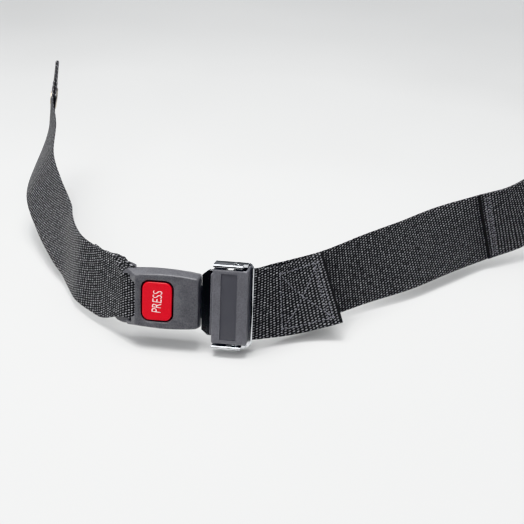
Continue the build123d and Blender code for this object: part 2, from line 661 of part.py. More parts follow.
def push_button():
    """Button with a crowned top, a retaining flange and two legs onto the latch plate."""
    x = (BUTTON_REAR + BUTTON_CLEAR, BUTTON_FRONT - BUTTON_CLEAR)
    half = BUTTON_HALF - BUTTON_CLEAR
    cap = rounded_block(x, half, (BUTTON_UNDER, FACE_Z + BUTTON_PROUD), BUTTON_CORNER - BUTTON_CLEAR)
    cap = fillet(cap.edges().group_by(Axis.Z)[-1], 0.7)
    wide = (BUTTON_REAR - BUTTON_LIP, BUTTON_FRONT + BUTTON_LIP)
    flange_top = FACE_Z - WALL - 0.1
    cap += rounded_block(wide, BUTTON_HALF + BUTTON_LIP, (BUTTON_UNDER, flange_top), BUTTON_CORNER)
    for leg in mirrored(block(LEG_X, LEG_Y, (LATCH_TOP + COIL_GAP, BUTTON_UNDER + 0.5))):
        cap += leg
    return place(cap)


def button_spring():
    """Spring between the frame's base plate and the button."""
    base = FRAME_FLOOR + FRAME_SHEET
    return place(Pos(BUTTON_SPRING_X, 0, base) * spring(SPRING_R + 0.2, BUTTON_UNDER - base, 6))


# ---------------------------------------------------------------- tongue and adjuster
def plate_outline():
    """Half outline of the tongue plate and its mirror, as one face."""
    upper = [
        (BLADE_TIP, BLADE_HALF - BLADE_CHAMFER), (BLADE_TIP + BLADE_CHAMFER, BLADE_HALF),
        (SHOULDER_X, BLADE_HALF),
        (SHOULDER_X, SHOULDER_HALF), (NECK_X, NECK_HALF), (CHEEK_X, NECK_HALF),
        (CHEEK_X, CHEEK_HALF), (PLATE_END, CHEEK_HALF),
    ]
    lower = [(x, -y) for x, y in reversed(upper)]
    face = make_face(Polyline(*upper, *lower, upper[0]))
    ends = [v for v in face.vertices() if v.X > PLATE_END - 0.1]
    return fillet(ends, PLATE_CORNER)


def tongue_plate():
    """One stamping: blade with latch window, shoulders, strap window, turned-up flanges."""
    body = Pos(0, 0, -HALF_PLATE) * extrude(plate_outline(), PLATE)
    body -= block(LATCH_WINDOW, (-LATCH_WINDOW_HALF, LATCH_WINDOW_HALF), (-PLATE, PLATE))
    body -= block((WINDOW_FRONT, CROSSBAR_X), (-WEB_WIDTH / 2 - 0.2, WEB_WIDTH / 2 + 0.2), (-PLATE, PLATE))
    across = body.edges().filter_by(Axis.Y)
    body = fillet(across.filter_by_position(Axis.X, CROSSBAR_X - 0.01, CROSSBAR_X + 0.01), 0.6)
    inner = CHEEK_INNER
    tall = block((CHEEK_X, CHEEK_END), (inner, CHEEK_HALF), (-HALF_PLATE, CHEEK_TOP))
    tall = fillet(tall.edges().filter_by(Axis.X).group_by(Axis.Z)[-1], 0.7)
    low = block((CHEEK_END, CHEEK_STEP[0]), (inner, CHEEK_HALF), (-HALF_PLATE, CHEEK_STEP[1]))
    slot_x = (BAR_X - BAR_TRAVEL, BAR_X)
    reach = BAR_TENON_R + TENON_FIT
    slot = block(slot_x, (inner - 1, CHEEK_HALF + 1), (BAR_Z - reach, BAR_Z + reach))
    for x in slot_x:
        slot += Pos(x, inner + 1, BAR_Z) * Rot(90, 0, 0) * Cylinder(reach, 4 * CHEEK_SHEET)
    for cheek in mirrored(tall + low - slot):
        body += cheek
    for hole in mirrored(Pos(RIVET_X, RIVET_Y, 0) * Cylinder(RIVET_R + BAR_FIT, 2 * PLATE)):
        body -= hole
    return place(body)


def lock_bar():
    """Bar that the strap turns round, with tenons in the flanges' slots."""
    half = CHEEK_INNER - BAR_SIDE_GAP
    body = cross_pin(BAR_X, BAR_Z, BAR_R, half)
    return place(body + cross_pin(BAR_X, BAR_Z, BAR_TENON_R, CHEEK_HALF + 0.2))


def adjuster_cover():
    """Plastic block over the lock bar, with a shallow panel in its face."""
    base = HALF_PLATE + BAR_FIT
    body = block(COVER_X, (-COVER_HALF, COVER_HALF), (base, COVER_TOP))
    body = fillet(body.edges().filter_by(Axis.Z) + body.edges().group_by(Axis.Z)[-1], COVER_EDGE)
    cavity_x = (COVER_CAVITY_X, COVER_X[1] - COVER_REAR_WALL)
    body -= block(cavity_x, (-COVER_HALF - 1, COVER_HALF + 1), (0, COVER_TOP - COVER_ROOF))
    panel = rounded_block(PANEL_X, PANEL_HALF, (COVER_TOP - PANEL_DEEP, COVER_TOP + 1), 1.0)
    body -= panel
    skirt = rounded_block((SKIRT_X, COVER_X[0] + COVER_EDGE + 1), SKIRT_HALF, (base, SKIRT_TOP), 2 * SKIRT_EDGE)
    body += fillet(skirt.edges().group_by(Axis.Z)[-1], SKIRT_EDGE)
    for hole in mirrored(Pos(RIVET_X, RIVET_Y, RIVET_DEEP / 2) * Cylinder(RIVET_R + BAR_FIT, RIVET_DEEP)):
        body -= hole
    return place(body)


def adjuster_rivets():
    """Two rivets that hold the cover to the plate."""
    top = RIVET_DEEP - 0.2
    shank = Pos(RIVET_X, RIVET_Y, (top - HALF_PLATE) / 2) * Cylinder(RIVET_R, top + HALF_PLATE)
    head = Pos(RIVET_X, RIVET_Y, -HALF_PLATE - RIVET_HEAD / 2) * Cylinder(RIVET_HEAD_R, RIVET_HEAD)
    head = fillet(head.edges().filter_by(GeomType.CIRCLE).group_by(Axis.Z)[0], RIVET_HEAD * 0.6)
    return place(Compound(mirrored(shank + head)))


LEFT_TAB = tab_frame(LEFT_TAB_RUN, LEFT_TAB_LEAN, (0, 0, 0))
RIGHT_TAB = tab_frame(RIGHT_TAB_RUN, RIGHT_TAB_LEAN, (POST_SPACING, 0, 0))

NODES = {
    "left_strap": lambda: left_strap(LEFT_TAB),
    "left_anchor_tab": lambda: anchor_tab(LEFT_TAB),
    "left_grommet": lambda: grommet(LEFT_TAB),
    "left_grommet_washer": lambda: grommet_washer(LEFT_TAB),
    "left_tab_stitching": lambda: tab_stitching(LEFT_TAB),
    "buckle_front_cover": buckle_front_cover,
    "buckle_rear_cover": buckle_rear_cover,
    "cover_screws": cover_screws,
    "buckle_frame": buckle_frame,
    "webbing_bar": webbing_bar,
    "latch_plate": latch_plate,
    "latch_pin": latch_pin,
    "latch_spring": latch_spring,
    "ejector": ejector,
    "ejector_springs": ejector_springs,
    "push_button": push_button,
    "button_spring": button_spring,
    "tongue_plate": tongue_plate,
    "lock_bar": lock_bar,
    "adjuster_cover": adjuster_cover,
    "adjuster_rivets": adjuster_rivets,
    "right_strap": lambda: right_strap(RIGHT_TAB),
    "right_fold_back": lambda: right_fold_back(RIGHT_TAB),
    "right_anchor_tab": lambda: anchor_tab(RIGHT_TAB),
    "right_grommet": lambda: grommet(RIGHT_TAB),
    "right_grommet_washer": lambda: grommet_washer(RIGHT_TAB),
    "right_tab_stitching": lambda: tab_stitching(RIGHT_TAB),
}

os.makedirs("parts", exist_ok=True)
for name, make in NODES.items():
    export_step(make(), f"parts/{name}.step")
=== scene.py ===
"""Looks of a lap belt with a push-button buckle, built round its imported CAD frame.

The webbing is drawn here as real sheets, one for the buckle half and one for the adjuster half, with
their stitches. The hardware keeps its CAD shapes, or copies of them with a few forms added, and gets
its finishes and lettering here. Sizes are in millimetres up to the moment a mesh is made, and the
frame itself is in metres.
"""

from __future__ import annotations

import json
import logging
import math
from contextlib import contextmanager
from dataclasses import dataclass, field
from enum import Enum
from typing import Callable, Iterator, Sequence

import bmesh
import bpy
import numpy as np
from bmesh.types import BMEdge, BMesh
from bpy.types import ColorRamp, ID, Material, Mesh, Node, NodeOutputs, NodeSocket, NodeTree, Object
from mathutils import Matrix, Vector


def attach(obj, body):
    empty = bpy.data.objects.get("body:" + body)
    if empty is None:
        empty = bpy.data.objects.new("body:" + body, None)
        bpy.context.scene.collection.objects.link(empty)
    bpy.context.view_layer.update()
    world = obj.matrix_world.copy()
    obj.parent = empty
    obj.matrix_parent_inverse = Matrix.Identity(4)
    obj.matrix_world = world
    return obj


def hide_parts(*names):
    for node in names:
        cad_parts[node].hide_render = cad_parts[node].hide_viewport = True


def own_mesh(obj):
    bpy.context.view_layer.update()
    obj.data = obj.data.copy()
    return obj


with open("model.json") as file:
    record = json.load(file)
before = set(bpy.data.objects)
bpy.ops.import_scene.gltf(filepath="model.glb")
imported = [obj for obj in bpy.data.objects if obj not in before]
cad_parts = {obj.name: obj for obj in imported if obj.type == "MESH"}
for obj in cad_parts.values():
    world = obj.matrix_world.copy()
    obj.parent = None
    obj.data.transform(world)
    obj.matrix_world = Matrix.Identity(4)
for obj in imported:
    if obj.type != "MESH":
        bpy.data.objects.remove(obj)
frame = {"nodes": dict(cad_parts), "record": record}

logging.basicConfig(level=logging.INFO, format="%(levelname)s %(message)s")
LOG = logging.getLogger("lap_belt")

MM = 0.001
WEBBING_WIDTH = 50.0
WEBBING_THICK = 1.4
# From the middle of one ply to the middle of the next.
PLY_STEP = 1.6
ROW_SPACING = 1.6
# A small share of a span, for finding which way a curve runs.
NUDGE = 0.001
# How far a thread's middle lies from the webbing's.
STITCH_LIFT = 0.75

Pair = tuple[float, float]
Triple = tuple[float, float, float]
# Offsets along, across and out of a sheet, for a distance along it and a distance across it.
SheetShape = Callable[[float, float], Triple]


class Body(str, Enum):
    """The CAD bodies that pieces ride on."""

    BUCKLE_SIDE = "buckle_side"
    BUTTON = "button"
    TONGUE = "tongue"
    RIGHT_SIDE = "right_side"


# ---------------------------------------------------------------- nodes and materials
def hex_colour(code: str) -> tuple[float, float, float, float]:
    """Turns an sRGB hex code into a linear colour.

    Args:
        code: Six hex digits, such as "1a1a1c".

    Returns:
        Red, green, blue and alpha, linear, from 0 to 1.
    """
    channels = [int(code[i : i + 2], 16) / 255 for i in (0, 2, 4)]
    linear = [c / 12.92 if c <= 0.04045 else ((c + 0.055) / 1.055) ** 2.4 for c in channels]
    return (*linear, 1.0)


def set_stops(ramp: ColorRamp, stops: Sequence[tuple[float, str]]) -> None:
    """Sets a colour ramp's stops.

    Args:
        ramp: The ramp.
        stops: Place from 0 to 1 and hex colour of each stop, in order.
    """
    while len(ramp.elements) < len(stops):
        ramp.elements.new(0.5)
    for element, (place, code) in zip(ramp.elements, stops):
        element.position = place
        element.color = hex_colour(code)


def feed(node: Node, **inputs: object) -> Node:
    """Sets or links inputs of a node.

    Args:
        node: The node.
        inputs: What goes into each input: a value, an output, or a node for its first output. An
            input is given by its name, or as in_N by its number.

    Returns:
        The same node.
    """
    for name, value in inputs.items():
        socket = node.inputs[int(name[3:]) if name.startswith("in_") else name.replace("_", " ")]
        if isinstance(value, Node):
            value = value.outputs[0]
        if isinstance(value, NodeSocket):
            node.id_data.links.new(value, socket)
        else:
            socket.default_value = value
    return node


def add_node(tree: NodeTree, kind: str, settings: dict | None = None,
             **inputs: object) -> Node:
    """Adds a node, sets its properties, and sets or links its inputs.

    Args:
        tree: The node tree to add to.
        kind: The node's type name, without the ShaderNode that most of them start with.
        settings: Properties of the node itself, such as its operation, or a colour ramp's stops.
        inputs: What goes into its inputs, as feed() takes them.

    Returns:
        The new node.
    """
    node = tree.nodes.new(kind if "Node" in kind else "ShaderNode" + kind)
    for name, value in (settings or {}).items():
        if name == "stops":
            set_stops(node.color_ramp, value)
        else:
            setattr(node, name, value)
    return feed(node, **inputs)


def new_material(name: str) -> tuple[Material, NodeTree, Node]:
    """Starts a node material with a Principled shader.

    Args:
        name: Name of the material, after the real one.

    Returns:
        The material, its node tree and its Principled node.
    """
    material = bpy.data.materials.new(name)
    material.use_nodes = True
    tree = material.node_tree
    tree.nodes.clear()
    shader = add_node(tree, "BsdfPrincipled")
    add_node(tree, "OutputMaterial", Surface=shader)
    return material, tree, shader


def object_place(tree: NodeTree) -> NodeSocket:
    """The output that gives a point's place on the whole belt, in metres."""
    return add_node(tree, "TexCoord").outputs["Object"]


def tint(shader: Node, share: Node, code: str) -> None:
    """Lays another colour over the one that the shader already has.

    Args:
        shader: The Principled node, with its base colour linked.
        share: How much of the new colour shows, from 0 to 1.
        code: The new colour's hex code.
    """
    base = shader.inputs["Base Color"].links[0].from_socket
    mixed = add_node(shader.id_data, "Mix", {"data_type": "RGBA"}, in_0=share, in_6=base,
                     in_7=hex_colour(code))
    feed(shader, Base_Color=mixed.outputs[2])


# ---------------------------------------------------------------- meshes and pieces
def add_object(name: str, data: ID) -> Object:
    """Puts a new object in the scene, at the origin.

    Args:
        name: Name of the object.
        data: Its mesh, curve, light or camera.

    Returns:
        The new object.
    """
    added = bpy.data.objects.new(name, data)
    bpy.context.scene.collection.objects.link(added)
    return added


def mesh_object(name: str, vertices: Sequence, faces: Sequence, smooth: bool = True) -> Object:
    """Makes a mesh object at the origin.

    Args:
        name: Name of the piece.
        vertices: Corners in millimetres.
        faces: Corner numbers of each face.
        smooth: Whether the faces are shaded smooth.

    Returns:
        The new object.
    """
    mesh = bpy.data.meshes.new(name)
    mesh.from_pydata([tuple(float(c) * MM for c in v) for v in vertices], [], [tuple(f) for f in faces])
    mesh.polygons.foreach_set("use_smooth", [smooth] * len(mesh.polygons))
    mesh.update()
    return add_object(name, mesh)


@contextmanager
def opened(mesh: Mesh) -> Iterator[BMesh]:
    """Opens a mesh for editing.

    Args:
        mesh: The mesh.

    Yields:
        Its editable form, which is written back at the end.
    """
    bm = bmesh.new()
    bm.from_mesh(mesh)
    yield bm
    bm.to_mesh(mesh)
    bm.free()


def evaluated_mesh(piece: Object) -> Mesh:
    """A plain mesh of a piece as its modifiers leave it."""
    bpy.context.view_layer.update()
    return bpy.data.meshes.new_from_object(piece.evaluated_get(bpy.context.evaluated_depsgraph_get()))


def apply_modifiers(piece: Object) -> None:
    """Turns a piece and its modifiers into one plain mesh."""
    piece.data = evaluated_mesh(piece)
    piece.modifiers.clear()


def merged_copy(node: str, name: str) -> Object:
    """Copies a CAD piece, with its triangles joined up.

    Args:
        node: The CAD piece's node.
        name: Name of the copy.

    Returns:
        The copy, at the origin.
    """
    source = frame["nodes"][node]
    mesh = source.data.copy()
    mesh.transform(source.matrix_world)
    with opened(mesh) as bm:
        bmesh.ops.remove_doubles(bm, verts=bm.verts, dist=0.002 * MM)
        bmesh.ops.dissolve_limit(bm, angle_limit=math.radians(1.0), verts=bm.verts, edges=bm.edges)
    return add_object(name, mesh)


def dress(piece: Object, material: Material) -> None:
    """Gives a piece one material in place of those it has."""
    piece.data.materials.clear()
    piece.data.materials.append(material)


def settle(piece: Object, material: Material, body: Body, slot: str, *nodes: str) -> None:
    """Dresses a finished piece and says where it belongs.

    Args:
        piece: The piece.
        material: Its finish.
        body: The CAD body that it rides on.
        slot: The record's slot that its finish comes from. Not used.
        nodes: The CAD nodes that it stands for.
    """
    dress(piece, material)
    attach(piece, body.value)
    if nodes:
        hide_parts(*nodes)


# ---------------------------------------------------------------- the hardware's own frame
BUCKLE_AT = Vector((150.0, -233.0, -51.0))
BUCKLE_LEAN = math.radians(12.0)
HARDWARE = Matrix((
    (1.0, 0.0, 0.0, BUCKLE_AT.x),
    (0.0, math.sin(BUCKLE_LEAN), -math.cos(BUCKLE_LEAN), BUCKLE_AT.y),
    (0.0, math.cos(BUCKLE_LEAN), math.sin(BUCKLE_LEAN), BUCKLE_AT.z),
    (0.0, 0.0, 0.0, 1.0),
))
TO_HARDWARE = HARDWARE.inverted()


def hardware_direction(x: float, y: float, z: float) -> Vector:
    """A direction of the hardware frame, in the world's axes."""
    return HARDWARE.to_3x3() @ Vector((x, y, z))


def local_place(place: Vector) -> Vector:
    """A mesh's place in metres, as millimetres in the hardware frame."""
    return TO_HARDWARE @ (place / MM)


def mesh_place(local: Vector) -> Vector:
    """A place in the hardware frame, as a mesh's place in metres."""
    return (HARDWARE @ local) * MM


def hardware_parts(tree: NodeTree) -> NodeOutputs:
    """Adds nodes that give a point's x, y and z in the hardware frame.

    Args:
        tree: The material's tree.

    Returns:
        The outputs X, Y and Z, in metres.
    """
    local = add_node(tree, "Mapping", {"vector_type": "TEXTURE"}, Vector=object_place(tree),
                     Location=tuple(BUCKLE_AT * MM), Rotation=(math.radians(90) - BUCKLE_LEAN, 0.0, 0.0))
    return add_node(tree, "SeparateXYZ", Vector=local).outputs


# ---------------------------------------------------------------- finishes
@dataclass(frozen=True)
class WovenWebbing:
    """Black nylon seat-belt webbing.

    The shiny warp floats are painted as bright dots in columns across the strap, a painted highlight
    on the black yarn, each column half a step from the next, and the dips between them are painted
    nearly black, as painted shade. Both faces have the same slant, because the yarn has one twist.
    """

    name: str = "nylon_webbing"
    # Real floats are about 1.2 mm apart. They are drawn at twice that, so that they can be seen.
    column_pitch_mm: float = 2.4
    float_pitch_mm: float = 1.8
    # Steady columns, the slant of the twist, and the opposite slant.
    strengths: Triple = (0.8, 1.15, 0.38)
    # Sums of the three waves at which a dip and a float are at their flattest.
    levels: Pair = (-1.25, 1.9)
    # Painted highlight on the floats, the yarn's own black between them, and painted shade in the dips.
    float_hex: str = "bfbfc3"
    mid_hex: str = "2b2b2f"
    dip_hex: str = "050506"
    relief_mm: float = 0.3
    # Length of the sealed ends, which are also painted darker as shade at a ply's raw end.
    sealed_mm: float = 2.6
    # Yarns wander by about a quarter of a millimetre, and differ a little in tone.
    wander_mm: Triple = (0.9, 1.2, 0.0)
    wanders_per_mm: float = 0.24
    tones_per_mm: float = 0.42

    def wave(self, tree: NodeTree, place: Node, along: float, across: float,
             strength: float) -> Node:
        """Adds one wave of the weave.

        Args:
            tree: The material's node tree.
            place: Node with the place on the webbing, in metres.
            along: Waves for each millimetre along the strap.
            across: Waves for each millimetre across it.
            strength: Height of the wave.

        Returns:
            The node with the wave.
        """
        turn = 2 * math.pi / MM
        phase = add_node(tree, "VectorMath", {"operation": "DOT_PRODUCT"}, in_0=place,
                         in_1=(across * turn, along * turn, 0.0))
        wave = add_node(tree, "Math", {"operation": "COSINE"}, in_0=phase.outputs["Value"])
        return add_node(tree, "Math", {"operation": "MULTIPLY"}, in_0=wave, in_1=strength)

    def weave(self, tree: NodeTree, uv: Node) -> Node:
        """Adds the height of the weave.

        Args:
            tree: The material's node tree.
            uv: Node with the UV map, in metres.

        Returns:
            The node with the height, from 0 in a dip to 1 on a float.
        """
        wobble = add_node(tree, "TexNoise", Vector=uv, Scale=self.wanders_per_mm / MM, Detail=2.0)
        shift = add_node(tree, "VectorMath", {"operation": "SUBTRACT"}, in_0=wobble.outputs["Color"],
                         in_1=(0.5, 0.5, 0.5))
        place = add_node(tree, "VectorMath", {"operation": "MULTIPLY_ADD"}, in_0=shift,
                         in_1=[reach * MM for reach in self.wander_mm], in_2=uv)
        columns, floats = 1 / self.column_pitch_mm, 1 / self.float_pitch_mm
        height = self.wave(tree, place, columns, 0.0, self.strengths[0])
        for across, strength in zip((-floats, floats), self.strengths[1:]):
            height = add_node(tree, "Math", {"operation": "ADD"}, in_0=height,
                              in_1=self.wave(tree, place, columns / 2, across, strength))
        return add_node(tree, "MapRange", {"interpolation_type": "SMOOTHSTEP"}, Value=height,
                        From_Min=self.levels[0], From_Max=self.levels[1])

    def build(self) -> Material:
        """Makes the material; its pattern follows the piece's UV map, which is in metres.

        Returns:
            The material.
        """
        material, tree, shader = new_material(self.name)
        uv = add_node(tree, "UVMap", {"uv_map": "webbing"})
        patches = add_node(tree, "TexNoise", Vector=uv, Scale=self.tones_per_mm / MM, Detail=4.0,
                           Roughness=0.65)
        tone = add_node(tree, "MapRange", Value=patches, From_Min=0.3, From_Max=0.7, To_Min=0.35)
        # The last few millimetres are melted together, so they are flat and a little shiny; they are also
        # darker, partly for the sealing and partly as painted shade at a ply's raw end.
        cut = add_node(tree, "UVMap", {"uv_map": "cut_ends"})
        reach = add_node(tree, "SeparateXYZ", Vector=cut)
        unsealed_unshaded = add_node(tree, "MapRange", {"interpolation_type": "SMOOTHSTEP"}, Value=reach,
                              From_Min=0.4 * self.sealed_mm * MM, From_Max=self.sealed_mm * MM, To_Min=0.3)
        raised = add_node(tree, "Math", {"operation": "MULTIPLY"}, in_0=self.weave(tree, uv),
                          in_1=unsealed_unshaded)
        lit = add_node(tree, "Math", {"operation": "MULTIPLY"}, in_0=raised, in_1=tone)
        # The ramp paints the floats' highlight and the dips' shade.
        stops = [(0.0, self.dip_hex), (0.4, self.mid_hex), (1.0, self.float_hex)]
        ramp = add_node(tree, "ValToRGB", {"stops": stops}, Fac=lit)
        rough = add_node(tree, "MapRange", Value=lit, To_Min=0.8, To_Max=0.38)
        bump = add_node(tree, "Bump", Height=raised, Strength=0.8, Distance=self.relief_mm * MM)
        feed(shader, Base_Color=ramp, Roughness=rough, Normal=bump, Sheen_Weight=0.06, Sheen_Roughness=0.5,
             IOR=1.53)
        return material


@dataclass(frozen=True)
class BondedThread:
    """Black bonded polyester thread, smooth and slightly waxy, a little lighter than the webbing, with its
    sheen painted on as a grey colour and painted shade in the grooves of its twist.
    """

    name: str = "bonded_thread"
    # Painted sheen: the black thread is coloured grey. Painted shade: the twist's grooves are darker.
    thread_hex: str = "8c8c94"
    groove_hex: str = "48484c"
    # The twist of the plies is drawn a few times as coarse as it is, so that it can be seen.
    ply_mm: float = 0.5
    coarser: float = 6.0

    def build(self) -> Material:
        """Makes the material, with the twist of the plies as bump and as painted shade in its grooves.

        Returns:
            The material.
        """
        material, tree, shader = new_material(self.name)
        scale = 1.0 / (self.ply_mm * MM * self.coarser)
        wave = add_node(tree, "TexWave", {"wave_type": "BANDS", "bands_direction": "DIAGONAL"},
                        Vector=object_place(tree), Scale=scale, Distortion=1.5)
        twist = wave.outputs["Fac"]
        stops = [(0.0, self.groove_hex), (1.0, self.thread_hex)]
        ramp = add_node(tree, "ValToRGB", {"stops": stops}, Fac=twist)
        bump = add_node(tree, "Bump", Height=twist, Strength=0.4, Distance=0.1 * MM)
        feed(shader, Base_Color=ramp, Normal=bump, Roughness=0.5)
        return material


@dataclass(frozen=True)
class MouldedPlastic:
    """Injection-moulded plastic with a spark-eroded grain, worn a little smoother in patches."""

    name: str
    body_hex: str
    worn_hex: str
    grain_mm: float = 0.9
    grain_depth_mm: float = 0.09
    patches_per_mm: float = 0.095
    roughness: float = 0.5
    # What fresh and worn patches add to the roughness.
    wear: Pair = (0.06, -0.08)
    # How much of the change in colour is grain, with its painted highlight, and not patches.
    speckle: float = 0.7
    relief: float = 0.55

    def build(self) -> Material:
        """Makes the material, on Object coordinates.

        Returns:
            The material.
        """
        material, tree, shader = new_material(self.name)
        place = object_place(tree)
        grain = add_node(tree, "TexNoise", Vector=place, Scale=1.0 / (self.grain_mm * MM), Detail=3.0,
                         Roughness=0.6)
        patches = add_node(tree, "TexNoise", Vector=place, Scale=self.patches_per_mm / MM, Detail=4.0)
        # The tips of the grain are lighter than its pits, partly rubbed wear and partly painted highlight
        # on the tips and painted shade in the pits, more so in the worn patches.
        rubbed_and_sheen = add_node(tree, "Mix", {"data_type": "FLOAT"}, in_0=self.speckle, in_2=patches,
                          in_3=grain)
        # worn_hex is both the worn patches' colour and the painted highlight on the grain's tips.
        stops = [(0.38, self.body_hex), (0.62, self.worn_hex)]
        ramp = add_node(tree, "ValToRGB", {"stops": stops}, Fac=rubbed_and_sheen)
        fresh, worn = self.wear
        rough = add_node(tree, "MapRange", Value=patches, From_Min=0.3, From_Max=0.7,
                         To_Min=self.roughness + fresh, To_Max=self.roughness + worn)
        bump = add_node(tree, "Bump", {"name": "grain"}, Height=grain, Strength=self.relief,
                        Distance=self.grain_depth_mm * MM)
        feed(shader, Base_Color=ramp, Roughness=rough, Normal=bump, IOR=1.53)
        return material


@dataclass(frozen=True)
class ButtonPlastic(MouldedPlastic):
    """The button's plastic, with painted shade on the rim that runs down inside the opening."""

    rim_z: float = 7.3
    rim_hex: str = "120506"

    def build(self) -> Material:
        """Makes the plastic, then paints shade on what lies below the rim's height.

        Returns:
            The material.
        """
        material = super().build()
        tree = material.node_tree
        below = add_node(tree, "Math", {"operation": "LESS_THAN"}, in_0=hardware_parts(tree)["Z"],
                         in_1=self.rim_z * MM)
        # Painted shade deep in the gap round the button.
        tint(tree.nodes["Principled BSDF"], below, self.rim_hex)
        return material


@dataclass(frozen=True)
class RecessedPlastic(MouldedPlastic):
    """The same plastic with a smoother panel, painted darker as the shade in the cover's recessed channel.
    """

    panel_x: Pair = (37.2, 48.2)
    panel_half: float = 23.0
    panel_above: float = 8.0
    panel_hex: str = "545459"
    panel_relief: float = 0.08

    def build(self) -> Material:
        """Makes the plastic, then lays the panel's painted shade over it, on places in the hardware frame.

        Returns:
            The material.
        """
        material = super().build()
        tree = material.node_tree
        parts = hardware_parts(tree)
        middle, reach = sum(self.panel_x) / 2, (self.panel_x[1] - self.panel_x[0]) / 2
        panel = add_node(tree, "Math", {"operation": "GREATER_THAN"}, in_0=parts["Z"],
                         in_1=self.panel_above * MM)
        for axis, centre, half in (("X", middle, reach), ("Y", 0.0, self.panel_half)):
            inside = add_node(tree, "Math", {"operation": "COMPARE"}, in_0=parts[axis],
                              in_1=centre * MM, in_2=half * MM)
            panel = add_node(tree, "Math", {"operation": "MULTIPLY"}, in_0=panel, in_1=inside)
        # Painted shade of the recessed channel.
        tint(tree.nodes["Principled BSDF"], panel, self.panel_hex)
        calm = add_node(tree, "MapRange", Value=panel, To_Min=self.relief, To_Max=self.panel_relief)
        feed(tree.nodes["grain"], Strength=calm)
        return material


@dataclass(frozen=True)
class PlatedSteel:
    """Steel under a bright plating, with the faint unevenness of stamped and polished sheet."""

    name: str
    metal_hex: str
    dull_hex: str
    roughness: float
    dulled: float = 0.12
    handled_per_mm: float = 0.14
    ripple_mm: float = 4.0
    ripple_depth_mm: float = 0.01
    edge_mm: float = 0.3

    def build(self) -> Material:
        """Makes the material, on Object coordinates.

        Returns:
            The material.
        """
        material, tree, shader = new_material(self.name)
        place = object_place(tree)
        handling = add_node(tree, "TexNoise", Vector=place, Scale=self.handled_per_mm / MM, Detail=5.0)
        low, high = 0.35, 0.75
        stops = [(low, self.metal_hex), (high, self.dull_hex)]
        ramp = add_node(tree, "ValToRGB", {"stops": stops}, Fac=handling)
        rough = add_node(tree, "MapRange", Value=handling, From_Min=low, From_Max=high,
                         To_Min=self.roughness, To_Max=self.roughness + self.dulled)
        ripple = add_node(tree, "TexNoise", Vector=place, Scale=1.0 / (self.ripple_mm * MM), Detail=1.0)
        # Tumbling and plating round the stamped edges, so that each edge catches a thin line of light.
        edges = add_node(tree, "Bevel", {"samples": 8}, Radius=self.edge_mm * MM)
        bump = add_node(tree, "Bump", Height=ripple, Strength=0.5,
                        Distance=self.ripple_depth_mm * MM, Normal=edges)
        feed(shader, Base_Color=ramp, Roughness=rough, Normal=bump, Metallic=1.0)
        return material


@dataclass(frozen=True)
class PadPrintInk:
    """White pad-printing ink, matt, thin at its edges, with the red showing through where it is worn."""

    name: str = "pad_print_ink"
    ink_hex: str = "f2e6e4"
    worn_hex: str = "e2b8b8"
    wear_per_mm: float = 0.9

    def build(self) -> Material:
        """Makes the material, on Object coordinates.

        Returns:
            The material.
        """
        material, tree, shader = new_material(self.name)
        wear = add_node(tree, "TexNoise", Vector=object_place(tree), Scale=self.wear_per_mm / MM,
                        Detail=3.0)
        stops = [(0.3, self.worn_hex), (0.45, self.ink_hex)]
        ramp = add_node(tree, "ValToRGB", {"stops": stops}, Fac=wear)
        feed(shader, Base_Color=ramp, Roughness=0.6)
        return material


@dataclass
class Finishes:
    """Every finish of the belt, made once; most are named for the record's material slots."""

    webbing: Material = field(default_factory=WovenWebbing().build)
    thread: Material = field(default_factory=BondedThread().build)
    cover_plastic: Material = field(default_factory=MouldedPlastic(
        "black_abs", "4f4f53", "68686c", roughness=0.36).build)
    adjuster_plastic: Material = field(default_factory=RecessedPlastic(
        "black_abs_with_panel", "5e5e63", "707075", roughness=0.38).build)
    # Acetal comes from a polished mould, so it is glossier, with hardly any grain.
    button_plastic: Material = field(default_factory=ButtonPlastic(
        "red_acetal", "cc1826", "d6222f", grain_mm=0.8, grain_depth_mm=0.008, roughness=0.38).build)
    ejector_plastic: Material = field(default_factory=MouldedPlastic(
        "natural_acetal", "d9d7cf", "e2e0d8", grain_depth_mm=0.01, roughness=0.4).build)
    chrome_steel: Material = field(default_factory=PlatedSteel(
        "chrome_plated_steel", "d6d8db", "c6c8cb", 0.06).build)
    zinc_steel: Material = field(default_factory=PlatedSteel(
        "zinc_plated_steel", "b4b6b8", "9c9fa2", 0.28, ripple_mm=1.5).build)
    spring_steel: Material = field(default_factory=PlatedSteel(
        "spring_wire", "8f9092", "77787a", 0.3, ripple_mm=0.8).build)
    nickel_plate: Material = field(default_factory=PlatedSteel(
        "nickel_plated_brass", "c9c2b4", "b3ac9f", 0.16, ripple_mm=2.0).build)
    ink: Material = field(default_factory=PadPrintInk().build)


# ---------------------------------------------------------------- rows of webbing
def ease(share: float) -> float:
    """Smooth step from 0 to 1 as the share goes from 0 to 1."""
    share = min(1.0, max(0.0, share))
    return share * share * (3 - 2 * share)


@dataclass(frozen=True)
class Row:
    """One place along a strap: its centre, the way it runs, and the way across it, in millimetres."""

    centre: Vector
    along: Vector
    across: Vector

    def shifted(self, out: float) -> Row:
        """The same row moved out of the strap's right-hand face."""
        return Row(self.centre + self.along.cross(self.across) * out, self.along, self.across)

    def turned(self) -> Row:
        """The same row for a strap that runs the other way."""
        return Row(self.centre, -self.along, self.across)


def lean_across(along: Vector, lean: float) -> Vector:
    """The way across a strap that leans.

    Args:
        along: The way the strap runs.
        lean: Degrees that its upper edge tips to the right of the run.

    Returns:
        Unit vector from the lower to the upper edge.
    """
    upright = (Vector((0, 0, 1)) - along * along.z).normalized()
    return upright * math.cos(math.radians(lean)) + along.cross(upright) * math.sin(math.radians(lean))


